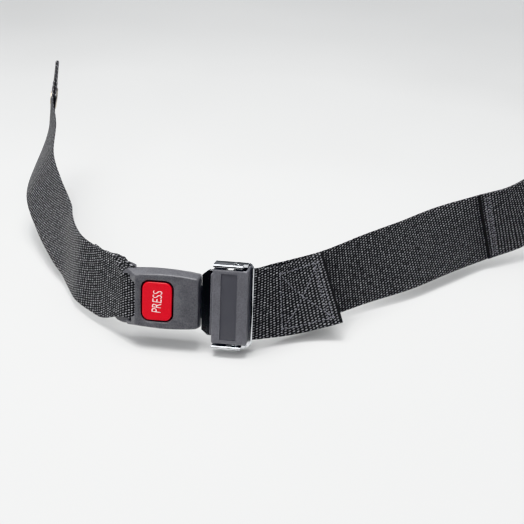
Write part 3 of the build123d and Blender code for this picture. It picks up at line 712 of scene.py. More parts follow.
def hermite(share: float, span: float, ends: Sequence[Vector], slopes: Sequence[Vector]) -> Vector:
    """A point on the cubic between two stations.

    Args:
        share: Place between the two, from 0 to 1.
        span: Distance between them.
        ends: The two stations.
        slopes: The slope at each.

    Returns:
        The point.
    """
    square, cube = share ** 2, share ** 3
    point = ends[0] * (2 * cube - 3 * square + 1) + ends[1] * (3 * square - 2 * cube)
    return point + (slopes[0] * (cube - 2 * square + share) + slopes[1] * (cube - square)) * span


def station_slopes(values: list[Vector], knots: list[float], ends: Sequence[Vector]) -> list[Vector]:
    """The slope at every station, from its neighbours, with the slopes at the two ends given."""
    inner = [(values[i + 2] - values[i]) / (knots[i + 2] - knots[i]) for i in range(len(values) - 2)]
    return [ends[0]] + inner + [ends[1]]


def run_lengths(points: Sequence[Vector]) -> list[float]:
    """The distance along a chain of points to each of them."""
    return np.cumsum([0.0] + [(b - a).length for a, b in zip(points, points[1:])]).tolist()


def row_lengths(rows: Sequence[Row]) -> list[float]:
    """The distance along the webbing to each row."""
    return run_lengths([row.centre for row in rows])


def smooth_run(start: Row, stations: Sequence[tuple], end: Row | None) -> list[Row]:
    """Closely spaced rows of a strap through given stations.

    Args:
        start: First row, with its direction.
        stations: x, y, z and lean in degrees of each station.
        end: Last row, or None for a strap that ends at its last station.

    Returns:
        The rows, the first and last included.
    """
    centres = [start.centre] + [Vector(s[:3]) for s in stations] + ([end.centre] if end else [])
    final = end.along if end else (centres[-1] - centres[-2]).normalized()
    knots = run_lengths(centres)
    runs = station_slopes(centres, knots, (start.along, final))
    edges = [start.across] + [lean_across(run.normalized(), s[3]) for run, s in zip(runs[1:], stations)]
    edges += [end.across] if end else []
    turns = station_slopes(edges, knots, (Vector(), Vector()))
    rows = [start]
    for i in range(len(centres) - 1):
        span = knots[i + 1] - knots[i]
        count = max(2, round(span / ROW_SPACING))
        cubic = (span, (centres[i], centres[i + 1]), (runs[i], runs[i + 1]))
        for step in range(1, count + 1):
            share = step / count
            point = hermite(share, *cubic)
            along = (point - hermite(share - NUDGE, *cubic)).normalized()
            across = hermite(share, span, (edges[i], edges[i + 1]), (turns[i], turns[i + 1]))
            rows.append(Row(point, along, (across - along * across.dot(along)).normalized()))
    return rows


def hardware_row(x: float, z: float, run_x: float, run_z: float) -> Row:
    """A row straight across the hardware, at x and z in its frame, with the way that it runs there."""
    along, across = hardware_direction(run_x, 0, run_z), hardware_direction(0, 1, 0)
    return Row(HARDWARE @ Vector((x, 0, z)), along, across)


def arc_rows(centre: Pair, radius: float, start: float, stop: float, count: int = 14) -> list[Row]:
    """Rows of webbing bent round a bar that lies across the hardware.

    Args:
        centre: x and z of the bar in the hardware frame.
        radius: Radius of the webbing's middle.
        start: First angle in degrees, from +x towards +z.
        stop: Last angle.
        count: How many steps there are between them.

    Returns:
        The rows, in the world.
    """
    turn = 1.0 if stop > start else -1.0
    rows = []
    for i in range(count + 1):
        angle = math.radians(start + (stop - start) * i / count)
        x, z = centre[0] + radius * math.cos(angle), centre[1] + radius * math.sin(angle)
        rows.append(hardware_row(x, z, -math.sin(angle) * turn, math.cos(angle) * turn))
    return rows


def line_rows(start: Pair, end: Pair) -> list[Row]:
    """Rows of straight webbing in the hardware.

    Args:
        start: x and z of the first row in the hardware frame.
        end: x and z of the last.

    Returns:
        The rows, in the world.
    """
    first, last = Vector(start), Vector(end)
    count = max(1, round((last - first).length / ROW_SPACING))
    run = (last - first).normalized()
    return [hardware_row(*first.lerp(last, i / count), *run) for i in range(count + 1)]


def join(*runs: list[Row]) -> list[Row]:
    """Runs of rows end to end, with the row that two of them share kept once."""
    return runs[0] + [row for run in runs[1:] for row in run[1:]]


@dataclass
class Tab:
    """The doubled end of a strap, flat, with the hole for its anchor screw."""

    hole: Vector
    run: Vector
    lean: float
    length: float = 26.0
    end_length: float = 19.0
    flat_steps: int = 26
    fold_steps: int = 8
    spacing: float = 1.7

    def __post_init__(self) -> None:
        """Works out the tab's three directions."""
        self.run = self.run.normalized()
        self.across = lean_across(self.run, self.lean)
        self.normal = self.run.cross(self.across)

    def row(self, x: float, z: float) -> Row:
        """A row at x along the tab and z out of its front."""
        return Row(self.hole + self.run * x + self.normal * z, self.run, self.across)

    def start(self) -> Row:
        """The rear ply's first row."""
        return self.row(-self.length, -PLY_STEP / 2)

    def rows(self) -> list[Row]:
        """Rows along the rear ply, round the fold and back along the front ply.

        Returns:
            The rows.
        """
        half = PLY_STEP / 2
        tip = self.end_length - half - WEBBING_THICK / 2
        span = tip + self.length
        flat = [-self.length + span * i / self.flat_steps for i in range(self.flat_steps + 1)]
        rows = [self.row(x, -half) for x in flat]
        for i in range(1, self.fold_steps + 1):
            angle = math.radians(-90 + 180 * i / self.fold_steps)
            at = self.row(tip + half * math.cos(angle), half * math.sin(angle))
            along = self.run * -math.sin(angle) + self.normal * math.cos(angle)
            rows.append(Row(at.centre, along, self.across))
        steps = max(2, round(span / self.spacing))
        return rows + [self.row(tip - span * i / steps, half).turned() for i in range(1, steps + 1)]


# ---------------------------------------------------------------- sheets of webbing
def add_uv(piece: Object, name: str, places: np.ndarray) -> None:
    """Adds a UV map, given the place of each face's corners."""
    piece.data.uv_layers.new(name=name).data.foreach_set("uv", places.ravel())


@dataclass
class WebbingSheet:
    """A strap as one thick sheet through a list of rows.

    Attributes:
        name: Name of the piece.
        rows: The places along it.
        shape: Moves each point of the sheet.
        selvedge: How far in the edge is woven round.
        edge_share: Thickness of the very edge, as a share of the whole.
        edge_columns: Columns near an edge, as distances from it.
        inner_from: Distance from the edge of the first of the evenly spaced columns.
        inner_count: How many of those there are.
        line_spacing: Distance between the points of a sewn line.
    """

    name: str
    rows: list[Row]
    shape: SheetShape
    selvedge: float = 0.9
    edge_share: float = 0.18
    edge_columns: tuple[float, ...] = (0.0, 0.18, 0.5, 1.0)
    inner_from: float = 1.6
    inner_count: int = 53
    line_spacing: float = 1.5

    def __post_init__(self) -> None:
        """Lays out the sheet's middle surface, its normals and the distance along it."""
        half = WEBBING_WIDTH / 2
        inner = np.linspace(-half + self.inner_from, half - self.inner_from, self.inner_count)
        edge = np.array(self.edge_columns)
        self.columns = np.concatenate([-half + edge, inner, half - edge[::-1]])
        self.distance = np.array(row_lengths(self.rows))
        points = np.zeros((len(self.rows), len(self.columns), 3))
        for i, row in enumerate(self.rows):
            out = row.along.cross(row.across)
            for j, column in enumerate(self.columns):
                a, c, n = self.shape(self.distance[i], column)
                points[i, j] = row.centre + row.along * a + row.across * (column + c) + out * n
        self.points = points
        normals = np.cross(np.gradient(points, axis=0), np.gradient(points, axis=1))
        self.normals = normals / np.maximum(np.linalg.norm(normals, axis=2, keepdims=True), 1e-9)

    @property
    def length(self) -> float:
        """Flat length of the webbing, in millimetres."""
        return float(self.distance[-1])

    def at(self, distance: float, column: float, lift: float) -> Vector:
        """A place on the sheet.

        Args:
            distance: Millimetres along the webbing.
            column: Millimetres from its middle, positive towards the upper edge.
            lift: Millimetres out of its right-hand face.

        Returns:
            The point, in millimetres.
        """
        i = float(np.interp(distance, self.distance, np.arange(len(self.distance))))
        j = float(np.interp(column, self.columns, np.arange(len(self.columns))))
        i0, j0 = min(int(i), len(self.distance) - 2), min(int(j), len(self.columns) - 2)
        fi, fj = i - i0, j - j0
        weights = ((i0, j0, (1 - fi) * (1 - fj)), (i0 + 1, j0, fi * (1 - fj)),
                   (i0, j0 + 1, (1 - fi) * fj), (i0 + 1, j0 + 1, fi * fj))
        place = sum(self.points[a, b] * w for a, b, w in weights)
        normal = sum(self.normals[a, b] * w for a, b, w in weights)
        return Vector(place + normal / max(np.linalg.norm(normal), 1e-9) * lift)

    def line(self, start: Pair, end: Pair, lift: float) -> list[Vector]:
        """Points of a straight sewn line on the sheet.

        Args:
            start: Distance along and across of the line's start.
            end: The same for its end.
            lift: How far out of the sheet's right-hand face it lies.

        Returns:
            The points, in millimetres.
        """
        (s0, c0), (s1, c1) = start, end
        count = max(2, round(math.hypot(s1 - s0, c1 - c0) / self.line_spacing))
        shares = [i / count for i in range(count + 1)]
        return [self.at(s0 + (s1 - s0) * share, c0 + (c1 - c0) * share, lift) for share in shares]

    def box_and_cross(self, start: float, end: float, half: float,
                      lift: float = -STITCH_LIFT) -> list[list[Vector]]:
        """The sewn box with a cross in it that joins two plies.

        Args:
            start: Distance along the sheet at which the box starts.
            end: Distance at which it ends.
            half: Half its width.
            lift: How far out of the sheet's right-hand face it lies.

        Returns:
            The points of its four sides and two diagonals.
        """
        ring = [(start, -half), (start, half), (end, half), (end, -half)]
        pairs = list(zip(ring, ring[1:] + ring[:1])) + [(ring[0], ring[2]), (ring[1], ring[3])]
        return [self.line(*pair, lift) for pair in pairs]

    def faces(self) -> list[tuple[int, int, int, int]]:
        """The sheet's faces: the two sides with the long edges, then the cut ends.

        Returns:
            Corner numbers of each. The left-hand side's corners come after all of the right-hand one's.
        """
        rows, columns = len(self.rows), len(self.columns)
        under = rows * columns
        faces = []
        for i in range(rows - 1):
            first, after = i * columns, (i + 1) * columns
            for j in range(columns - 1):
                a, b, c, d = first + j, first + j + 1, after + j + 1, after + j
                faces += [(a, d, c, b), (under + a, under + b, under + c, under + d)]
            faces.append((first, under + first, under + after, after))
            first, after = first + columns - 1, after + columns - 1
            faces.append((first, after, under + after, under + first))
        for j in range(columns - 1):
            last = under - columns + j
            faces.append((j, j + 1, under + j + 1, under + j))
            faces.append((last, under + last, under + last + 1, last + 1))
        return faces

    def build(self) -> Object:
        """Makes the closed mesh, with a UV map in metres that runs across and along the webbing.

        Returns:
            The sheet.
        """
        rows, columns = len(self.rows), len(self.columns)
        # The selvedge is woven round, so the sheet thins towards its edge.
        inwards = np.clip((WEBBING_WIDTH / 2 - np.abs(self.columns)) / self.selvedge, 0.0, 1.0)
        profile = self.edge_share + (1 - self.edge_share) * np.sqrt(inwards * (2 - inwards))
        half = self.normals * (WEBBING_THICK / 2 * profile)[None, :, None]
        faces = self.faces()
        piece = mesh_object(self.name, np.concatenate([(self.points + half).reshape(-1, 3),
                                                       (self.points - half).reshape(-1, 3)]), faces)
        corners = np.array(faces).ravel()
        # Across, the weave keeps its spacing also where the sheet is squeezed.
        steps = np.linalg.norm(np.diff(self.points, axis=1), axis=2)
        across = np.concatenate([np.zeros((rows, 1)), np.cumsum(steps, axis=1)], axis=1) - WEBBING_WIDTH / 2
        along = np.repeat(self.distance, columns)
        flat = np.tile(np.stack([across.ravel(), along], axis=1) * MM, (2, 1))[corners]
        # The left-hand face is mirrored, so that the weave slants the same way on both.
        flat[:, 0] *= np.repeat([-1.0 if min(face) >= rows * columns else 1.0 for face in faces], 4)
        add_uv(piece, "webbing", flat)
        # How far each place is from the nearer cut end, for the heat-sealed ends and their painted shade.
        cut = np.minimum(along, self.length - along) * MM
        add_uv(piece, "cut_ends", np.tile(np.stack([cut, np.zeros(len(cut))], axis=1), (2, 1))[corners])
        piece.data.set_sharp_from_angle(angle=math.radians(50))
        return piece


def punch(piece: Object, tab: Tab, radius: float, depth: float = 10.0) -> None:
    """Cuts the screw's hole through both plies of a tab.

    Args:
        piece: The strap's sheet.
        tab: The tab that has the hole.
        radius: Radius of the hole in millimetres.
        depth: Length of the punch.
    """
    tool = add_object("punch", bpy.data.meshes.new("punch"))
    with opened(tool.data) as bm:
        bmesh.ops.create_cone(bm, cap_ends=True, segments=40, radius1=radius * MM, radius2=radius * MM,
                              depth=depth * MM)
        turn = tab.normal.to_track_quat("Z", "Y").to_matrix().to_4x4()
        bmesh.ops.transform(bm, matrix=Matrix.Translation(tab.hole * MM) @ turn, verts=bm.verts)
    cut = piece.modifiers.new("hole", "BOOLEAN")
    cut.object, cut.operation, cut.solver = tool, "DIFFERENCE", "EXACT"
    apply_modifiers(piece)
    bpy.data.objects.remove(tool)


class StitchTree:
    """Geometry Nodes that turn drawn lines into rows of thread."""

    def __init__(self, thread: Material) -> None:
        """Builds the tree once.

        Args:
            thread: The thread's material.
        """
        tree = bpy.data.node_groups.new("stitch_rows", "GeometryNodeTree")
        face = tree.interface
        face.new_socket("Lines", in_out="INPUT", socket_type="NodeSocketGeometry")
        self.sizes = [face.new_socket(name, in_out="INPUT", socket_type="NodeSocketFloat").identifier
                      for name in ("Stitch pitch", "Stitch length", "Thread diameter")]
        face.new_socket("Stitches", in_out="OUTPUT", socket_type="NodeSocketGeometry")
        start = add_node(tree, "NodeGroupInput").outputs
        curve = add_node(tree, "GeometryNodeMeshToCurve", Mesh=start["Lines"])
        even = add_node(tree, "GeometryNodeResampleCurve", {"mode": "LENGTH"}, Curve=curve,
                        Length=start["Stitch pitch"])
        ball = add_node(tree, "GeometryNodeMeshUVSphere", Segments=8, Rings=6, Radius=0.5)
        tangent = add_node(tree, "GeometryNodeInputTangent")
        turn = add_node(tree, "FunctionNodeAlignRotationToVector", {"axis": "X"}, Vector=tangent)
        size = add_node(tree, "CombineXYZ", X=start["Stitch length"], Y=start["Thread diameter"],
                        Z=start["Thread diameter"])
        copies = add_node(tree, "GeometryNodeInstanceOnPoints", Points=even, Instance=ball, Rotation=turn,
                          Scale=size)
        solid = add_node(tree, "GeometryNodeRealizeInstances", Geometry=copies)
        smooth = add_node(tree, "GeometryNodeSetShadeSmooth", Geometry=solid)
        dressed = add_node(tree, "GeometryNodeSetMaterial", Geometry=smooth, Material=thread)
        add_node(tree, "NodeGroupOutput", Stitches=dressed)
        self.tree = tree

    def sew(self, name: str, lines: list[list[Vector]], pitch: float = 3.2, long: float = 2.6,
            thick: float = 0.85) -> Object:
        """Makes stitches along lines.

        Args:
            name: Name of the piece.
            lines: Points of each line, in millimetres.
            pitch: Distance from stitch to stitch.
            long: Length of one stitch.
            thick: Diameter of the thread.

        Returns:
            The stitches as one plain mesh.
        """
        edges, count = [], 0
        for line in lines:
            edges += [(count + i, count + i + 1) for i in range(len(line) - 1)]
            count += len(line)
        mesh = bpy.data.meshes.new(name + "_lines")
        mesh.from_pydata([tuple(p * MM) for line in lines for p in line], edges, [])
        guide = add_object(name + "_lines", mesh)
        modifier = guide.modifiers.new("stitches", "NODES")
        modifier.node_group = self.tree
        for socket, size in zip(self.sizes, (pitch, long, thick)):
            modifier[socket] = size * MM
        piece = add_object(name, evaluated_mesh(guide))
        bpy.data.objects.remove(guide)
        return piece


# ---------------------------------------------------------------- the two halves
@dataclass(frozen=True)
class Waviness:
    """The slight waves of a strap that lies loosely: their height, and their lengths each way."""

    height: float
    along: float
    across: float
    slant: float
    phase: float = 0.0

    def at(self, distance: float, column: float) -> float:
        """How far the strap stands out at a place on it."""
        lengthwise = math.sin(distance / self.along + self.phase)
        return self.height * lengthwise * math.cos(column / self.across + distance / self.slant)


@dataclass
class StrapHalf:
    """One half of the belt's webbing: a strap with its anchor tab and its stitches."""

    finishes: Finishes
    stitches: StitchTree
    side: str = ""
    body: Body = Body.BUCKLE_SIDE
    stands_for: tuple[str, ...] = ()
    bar_node: str = ""
    tab: Tab | None = None
    hole_radius: float = 4.5

    def make(self, sheet: WebbingSheet, lines: list[list[Vector]]) -> list[Object]:
        """Makes and settles the strap and its stitches.

        Args:
            sheet: The strap's sheet.
            lines: Points of each sewn line.

        Returns:
            The strap and the stitches.
        """
        LOG.info("%s webbing %.0f mm long", self.side, sheet.length)
        strap = sheet.build()
        punch(strap, self.tab, self.hole_radius)
        settle(strap, self.finishes.webbing, self.body, "webbing", *self.stands_for)
        thread = self.stitches.sew(f"{self.side}_stitches", lines)
        settle(thread, self.finishes.thread, self.body, "thread", f"{self.side}_tab_stitching")
        return [strap, thread]


@dataclass(frozen=True)
class Gather:
    """How the left strap narrows into the buckle's mouth.

    Round the bar it is squeezed evenly. From the mouth on, its lower edge opens out slowly, and its
    upper part folds over a crease that rises from the cover's ear.

    Attributes:
        mouth: Distance along the sheet at which the main ply leaves the mouth.
        lap: Length of the sewn lap.
        width: Width in the mouth.
        squeezed_to: Distance from the mouth at which the fold sets in.
        open_out: Distance over which the lower edge opens out.
        crease: The crease's height in the mouth, and where and over how far it rises to the top.
        top: Height of the folded part's top in the mouth.
        top_rises: Height, start and length of the two slopes by which it rises.
        roll: Radius with which the top rolls over.
        sunk: How far the flat part sinks behind the crease.
        backs: Depth and run of the two curves by which the folded part stands out.
        lean: How far the top leans back over the cover's ear.
        lean_over: How far from the mouth it does so.
        lean_from: Height from which it does so.
        blend: Distance over which each of these sets in.
        waves: Waves further from the mouth.
        crumple: Height of the small folds near it.
        crumple_reach: Distances from the mouth at which these are full and gone.
        crumple_waves: Radians of these for each millimetre across and along.
        crumple_columns: Distances across at which they begin and are full.
    """

    mouth: float
    lap: float
    width: float = 31.2
    squeezed_to: float = -11.0
    open_out: float = 32.0
    crease: Triple = (15.5, 2.0, 20.0)
    top: float = 16.0
    top_rises: tuple[Triple, ...] = ((5.0, -0.5, 2.0), (4.0, 0.0, 9.0))
    roll: float = 0.9
    sunk: float = -0.7
    backs: tuple[Pair, ...] = ((2.6, 2.0), (1.6, 14.0))
    lean: float = -5.5
    lean_over: float = 8.0
    lean_from: float = 16.5
    blend: float = 5.0
    waves: Waviness = Waviness(0.35, along=17.0, across=14.0, slant=41.0, phase=1.3)
    crumple: float = 0.35
    crumple_reach: Pair = (3.0, 22.0)
    crumple_waves: Pair = (0.55, 0.35)
    crumple_columns: Pair = (-8.0, 8.0)

    @property
    def spare(self) -> float:
        """How far each edge comes in."""
        return (WEBBING_WIDTH - self.width) / 2

    def folded(self, away: float, column: float) -> Triple:
        """Where the fold puts a place on the webbing.

        Args:
            away: Distance from the mouth along the webbing.
            column: Distance across it.

        Returns:
            Offset along, place across, and offset out.
        """
        half = WEBBING_WIDTH / 2
        low = -half + self.spare * ease(1 - away / self.open_out)
        height, start, run = self.crease
        crease = height + (half - height) * ease((away - start) / run)
        top = self.top
        for rise, start, run in self.top_rises:
            top += rise * ease((away - start) / run)
        flat = crease - low
        past = column + half - flat
        loose = min(1.0, max(0.0, WEBBING_WIDTH - flat) / self.blend)
        if past <= 0:
            return 0.0, crease + past, self.sunk * loose * ease((past + self.blend) / self.blend)
        rise = top - crease
        height = crease + (rise + self.roll - math.hypot(past - rise, self.roll))
        back = self.sunk
        for depth, run in self.backs:
            back += depth * ease(past / run)
        lean = self.lean * ease(1 - abs(away) / self.lean_over)
        lean *= ease((height - self.lean_from) / self.blend)
        return lean, height, loose * back

    def crumpled(self, away: float, column: float) -> float:
        """How far the small folds near the mouth stand out.

        Args:
            away: Distance from the mouth along the webbing.
            column: Distance across it.

        Returns:
            Offset out.
        """
        near, far = self.crumple_reach
        across, along = self.crumple_waves
        low, high = self.crumple_columns
        height = self.crumple * ease(1 - away / far) * ease(away / near)
        return height * (math.sin(across * column + along * away) * ease((column - low) / (high - low)))

    def shape(self, distance: float, column: float) -> Triple:
        """Offsets of a place on the webbing.

        Args:
            distance: Distance along it.
            column: Distance across it.

        Returns:
            Offsets along, across and out.
        """
        away = distance - self.mouth
        pressed = -column * 2 * self.spare / WEBBING_WIDTH
        if away <= self.squeezed_to:
            # Squeezed evenly round the bar, and let out again towards the lap's end.
            return 0.0, pressed * ease(distance / self.lap), 0.0
        along, across, out = self.folded(away, column)
        fold = ease((away - self.squeezed_to) / self.blend)
        wave = self.waves.at(distance, column) * ease(away / self.open_out)
        out = (out + self.crumpled(away, column)) * fold + wave
        return along * fold, pressed + (across - column - pressed) * fold, out


@dataclass(frozen=True)
class LooseRun:
    """How the right strap waves, away from the adjuster and the tab.

    Attributes:
        held_at: Distance along the sheet at which the adjuster holds it.
        ends_at: Distance at which its tab starts.
        calm: How far from each of these the strap is calmer.
        waves: Its waves.
    """

    held_at: float
    ends_at: float
    calm: Pair = (25.0, 30.0)
    waves: Waviness = Waviness(0.3, along=19.0, across=13.0, slant=53.0)

    def shape(self, distance: float, column: float) -> Triple:
        """Offsets of a place on the webbing.

        Args:
            distance: Distance along it.
            column: Distance across it.

        Returns:
            Offsets along, across and out.
        """
        if distance >= self.ends_at:
            return 0.0, 0.0, 0.0
        from_held, from_end = abs(distance - self.held_at), self.ends_at - distance
        share = min(1.0, from_held / self.calm[0], from_end / self.calm[1])
        return 0.0, 0.0, self.waves.at(distance, column) * share


@dataclass
class BuckleHalf(StrapHalf):
    """The left strap, from the lap sewn behind the buckle's bar to the anchor."""

    side: str = "left"
    stands_for: tuple[str, ...] = ("left_strap", "left_anchor_tab")
    bar_node: str = "webbing_bar"
    bar_x: float = -22.0
    loop_radius: float = 3.2
    mouth_x: float = -28.5
    lap: float = 44.0
    lap_from: float = 2.5
    # x, y, z and lean in degrees of each station.
    run: tuple = (
        (110, -225, -52, 10),
        (91, -210, -53, 9),
        (77, -198, -52, 9),
        (67, -182, -52, 9),
        (58, -165, -51, 12),
        (49, -149, -49, 19),
        (30, -118, -42, 22),
        (14, -88, -31, 28),
        (8, -52, -20, 25),
    )
    tab: Tab = field(default_factory=lambda: Tab(Vector((0, 0, 0)), Vector((-0.19, 0.90, 0.39)), 10.0))
    # Start, end and half width of each sewn box, from the lap's end, the tab's end and the tab's start.
    lap_box: Triple = (6.0, 28.0, 19.0)
    front_box: Triple = (-22.0, -3.0, 20.0)
    rear_box: Triple = (4.0, 23.0, 20.0)

    def rows(self) -> tuple[list[Row], float]:
        """Lays out the strap's rows.

        Returns:
            All rows from the lap's cut end to the tab's, and the distance at which the loop ends.
        """
        half = PLY_STEP / 2
        reach = self.mouth_x - self.bar_x
        to_touch = math.acos(self.loop_radius / math.hypot(reach, half))
        angle = math.degrees(math.atan2(half, reach) - to_touch)
        touch_x = self.bar_x + self.loop_radius * math.cos(math.radians(angle))
        touch_z = self.loop_radius * math.sin(math.radians(angle))
        out = line_rows((touch_x, touch_z), (self.mouth_x, half))
        main = smooth_run(out[-1], self.run, self.tab.start())
        lap = [row.shifted(PLY_STEP).turned() for row, distance in zip(main, row_lengths(main))
               if self.lap_from < distance <= self.lap]
        back_in = line_rows((self.mouth_x, -half), (touch_x, -touch_z))
        loop = arc_rows((self.bar_x, 0.0), self.loop_radius, -angle, angle)
        start = lap[::-1] + join(back_in, loop, out)
        return join(start, main, self.tab.rows()), row_lengths(start)[-1]

    def build(self) -> list[Object]:
        """Makes the left strap and its stitches.

        Returns:
            The two pieces.
        """
        rows, mouth = self.rows()
        sheet = WebbingSheet("left_webbing", rows, Gather(mouth, self.lap).shape)
        tab_start = sheet.length - 2 * (self.tab.length + self.tab.end_length)
        lines = []
        for at, (start, end, half) in ((0.0, self.lap_box), (sheet.length, self.front_box),
                                       (tab_start, self.rear_box)):
            lines += sheet.box_and_cross(at + start, at + end, half)
        return self.make(sheet, lines)


@dataclass
class AdjusterHalf(StrapHalf):
    """The right strap, from its free tail round the lock bar to the anchor and back."""

    side: str = "right"
    body: Body = Body.RIGHT_SIDE
    stands_for: tuple[str, ...] = ("right_strap", "right_fold_back", "right_anchor_tab")
    bar_node: str = "lock_bar"
    bar: Pair = (48.0, 4.0)
    loop_radius: float = 3.4
    # Radii of the bends into the loop and out of it.
    bend_in: float = 1.6
    bend_out: float = 2.4
    exit_x: float = 53.6
    tail_z: float = -2.2
    run: tuple = (
        (221, -215, -54, -12),
        (250, -190, -54, -8),
        (277, -163, -53, -13),
        (304, -136, -53, -23),
        (329, -107, -53, -26),
        (357, -82, -52, -16),
        (384, -66, -47, -10),
        (413, -43, -33, -9),
    )
    tail: tuple = (
        (218, -223.5, -53, -11),
        (231, -215.5, -53.5, -15),
        (244, -208, -52, -22),
        (258, -202, -49, -29),
    )
    tab: Tab = field(default_factory=lambda: Tab(Vector((457, 0, 0)), Vector((0.62, 0.60, 0.50)), -10.0))
    fold_back_from: int = 5
    tail_box: Triple = (5.5, 38.0, 19.5)
    hem_at: float = 8.5
    tab_box: Triple = (3.0, 15.0, 20.0)
    # The fold-back's end is sewn down with two rows.
    end_rows: Pair = (5.0, 8.0)
    end_row_half: float = 21.0

    def rows(self) -> tuple[list[Row], dict[str, float]]:
        """Lays out the strap's rows.

        Returns:
            All rows from the tail's free end to the fold-back's, and some distances along them.
        """
        z, main_z = self.tail_z, self.tail_z - PLY_STEP
        left, right = self.bar[0] - self.loop_radius, self.bar[0] + self.loop_radius
        into, out_of = self.bend_in, self.bend_out
        tail = smooth_run(hardware_row(self.exit_x, z, 1, 0), self.tail, None)
        tail = [row.turned() for row in tail][::-1]
        loop = join(
            line_rows((self.exit_x, z), (right + into, z)),
            arc_rows((right + into, z + into), into, -90, -180, 6),
            line_rows((right, z + into), (right, self.bar[1])),
            arc_rows(self.bar, self.loop_radius, 0, 180),
            line_rows((left, self.bar[1]), (left, main_z + out_of)),
            arc_rows((left + out_of, main_z + out_of), out_of, 180, 270, 8),
            line_rows((left + out_of, main_z), (self.exit_x, main_z)),
        )
        main = smooth_run(loop[-1], self.run, self.tab.start())
        corner = Vector(self.run[self.fold_back_from][:3])
        first = min(range(len(main)), key=lambda i: (main[i].centre - corner).length)
        back = [row.shifted(PLY_STEP).turned() for row in main[first:-1]][::-1]
        rows = join(tail, loop, main, self.tab.rows()) + back
        steps = row_lengths(rows)
        # Counted from 0, and with the two rows that the joins share kept once.
        places = {"exit": len(tail) - 1, "tab": len(tail) + len(loop) + len(main) - 3,
                  "tab_end": len(rows) - len(back) - 1}
        return rows, {name: steps[place] for name, place in places.items()}

    def build(self) -> list[Object]:
        """Makes the right strap and its stitches.

        Returns:
            The two pieces.
        """
        rows, places = self.rows()
        sheet = WebbingSheet("right_webbing", rows, LooseRun(places["exit"], places["tab"]).shape)
        start, end, half = self.tail_box
        lines = sheet.box_and_cross(start, end, half) + sheet.box_and_cross(start, end, half, STITCH_LIFT)
        lines.append(sheet.line((self.hem_at, -half), (self.hem_at, half), -STITCH_LIFT))
        near, far, half = self.tab_box
        lines += sheet.box_and_cross(places["tab"] + near, places["tab"] + far, half)
        lines += sheet.box_and_cross(places["tab_end"] - far, places["tab_end"] - near, half)
        for inset in self.end_rows:
            at, half = sheet.length - inset, self.end_row_half
            lines.append(sheet.line((at, -half), (at, half), -STITCH_LIFT))
        return self.make(sheet, lines)


# ---------------------------------------------------------------- lettering and redrawn hardware
@dataclass
class ButtonLettering:
    """The word PRESS, pad-printed on the button, reading upwards."""

    finishes: Finishes
    centre: Triple = (-6.3, 0.0, 8.205)
    cap_height: float = 6.4
    length: float = 15.0
    tilt: float = 4.0
    ink: float = 0.03
    # The built-in letters are made a little thinner, as a share of their size.
    thinned: float = -0.012

    def build(self) -> list[Object]:
        """Makes the letters as a mesh just proud of the button.

        Returns:
            The lettering.
        """
        curve = bpy.data.curves.new("press_lettering", "FONT")
        curve.body, curve.offset = "PRESS", self.thinned
        curve.align_x, curve.align_y = "CENTER", "CENTER"
        text = add_object("press_text", curve)
        mesh = evaluated_mesh(text)
        bpy.data.objects.remove(text)
        points = np.array([vertex.co for vertex in mesh.vertices])
        low, high = points.min(0), points.max(0)
        middle, size = (low + high) / 2, high - low
        turn = math.radians(90 - self.tilt)
        for vertex in mesh.vertices:
            x = (vertex.co.x - middle[0]) / size[0] * self.length
            y = (vertex.co.y - middle[1]) / size[1] * self.cap_height
            vertex.co = mesh_place(Vector((self.centre[0] + x * math.cos(turn) - y * math.sin(turn),
                                           self.centre[1] + x * math.sin(turn) + y * math.cos(turn),
                                           self.centre[2])))
        piece = add_object("press_lettering", mesh)
        solid = piece.modifiers.new("ink", "SOLIDIFY")
        solid.thickness, solid.offset = self.ink * MM, 0.0
        apply_modifiers(piece)
        settle(piece, self.finishes.ink, Body.BUTTON, "button_plastic")
        return [piece]


@dataclass
class TonguePlate:
    """The stamped tongue with its adjuster frame, its rear rail eased where the strap runs off it."""

    finishes: Finishes
    rail_x: float = 56.4
    rail_z: float = 1.0
    edge_mm: float = 0.8

    def is_rail_edge(self, edge: BMEdge) -> bool:
        """Tells whether an edge belongs to the rear rail's outline.

        Args:
            edge: An edge of the plate.

        Returns:
            True for an edge between two of the plate's faces, with both ends on the rail's rear.
        """
        ends = [local_place(vertex.co) for vertex in edge.verts]
        behind = all(end.x > self.rail_x and abs(end.z) > self.rail_z for end in ends)
        return behind and edge.is_manifold and edge.calc_face_angle() > math.radians(40)

    def build(self) -> list[Object]:
        """Eases the rear rail's edges on a copy of the CAD plate.

        Returns:
            The plate.
        """
        piece = merged_copy("tongue_plate", "polished_tongue")
        with opened(piece.data) as bm:
            rail = [edge for edge in bm.edges if self.is_rail_edge(edge)]
            bmesh.ops.bevel(bm, geom=rail, offset=self.edge_mm * MM, segments=1, profile=0.5,
                            affect="EDGES", clamp_overlap=False)
        piece.data.set_sharp_from_angle(angle=math.radians(35))
        settle(piece, self.finishes.chrome_steel, Body.TONGUE, "chrome_steel", "tongue_plate")
        return [piece]


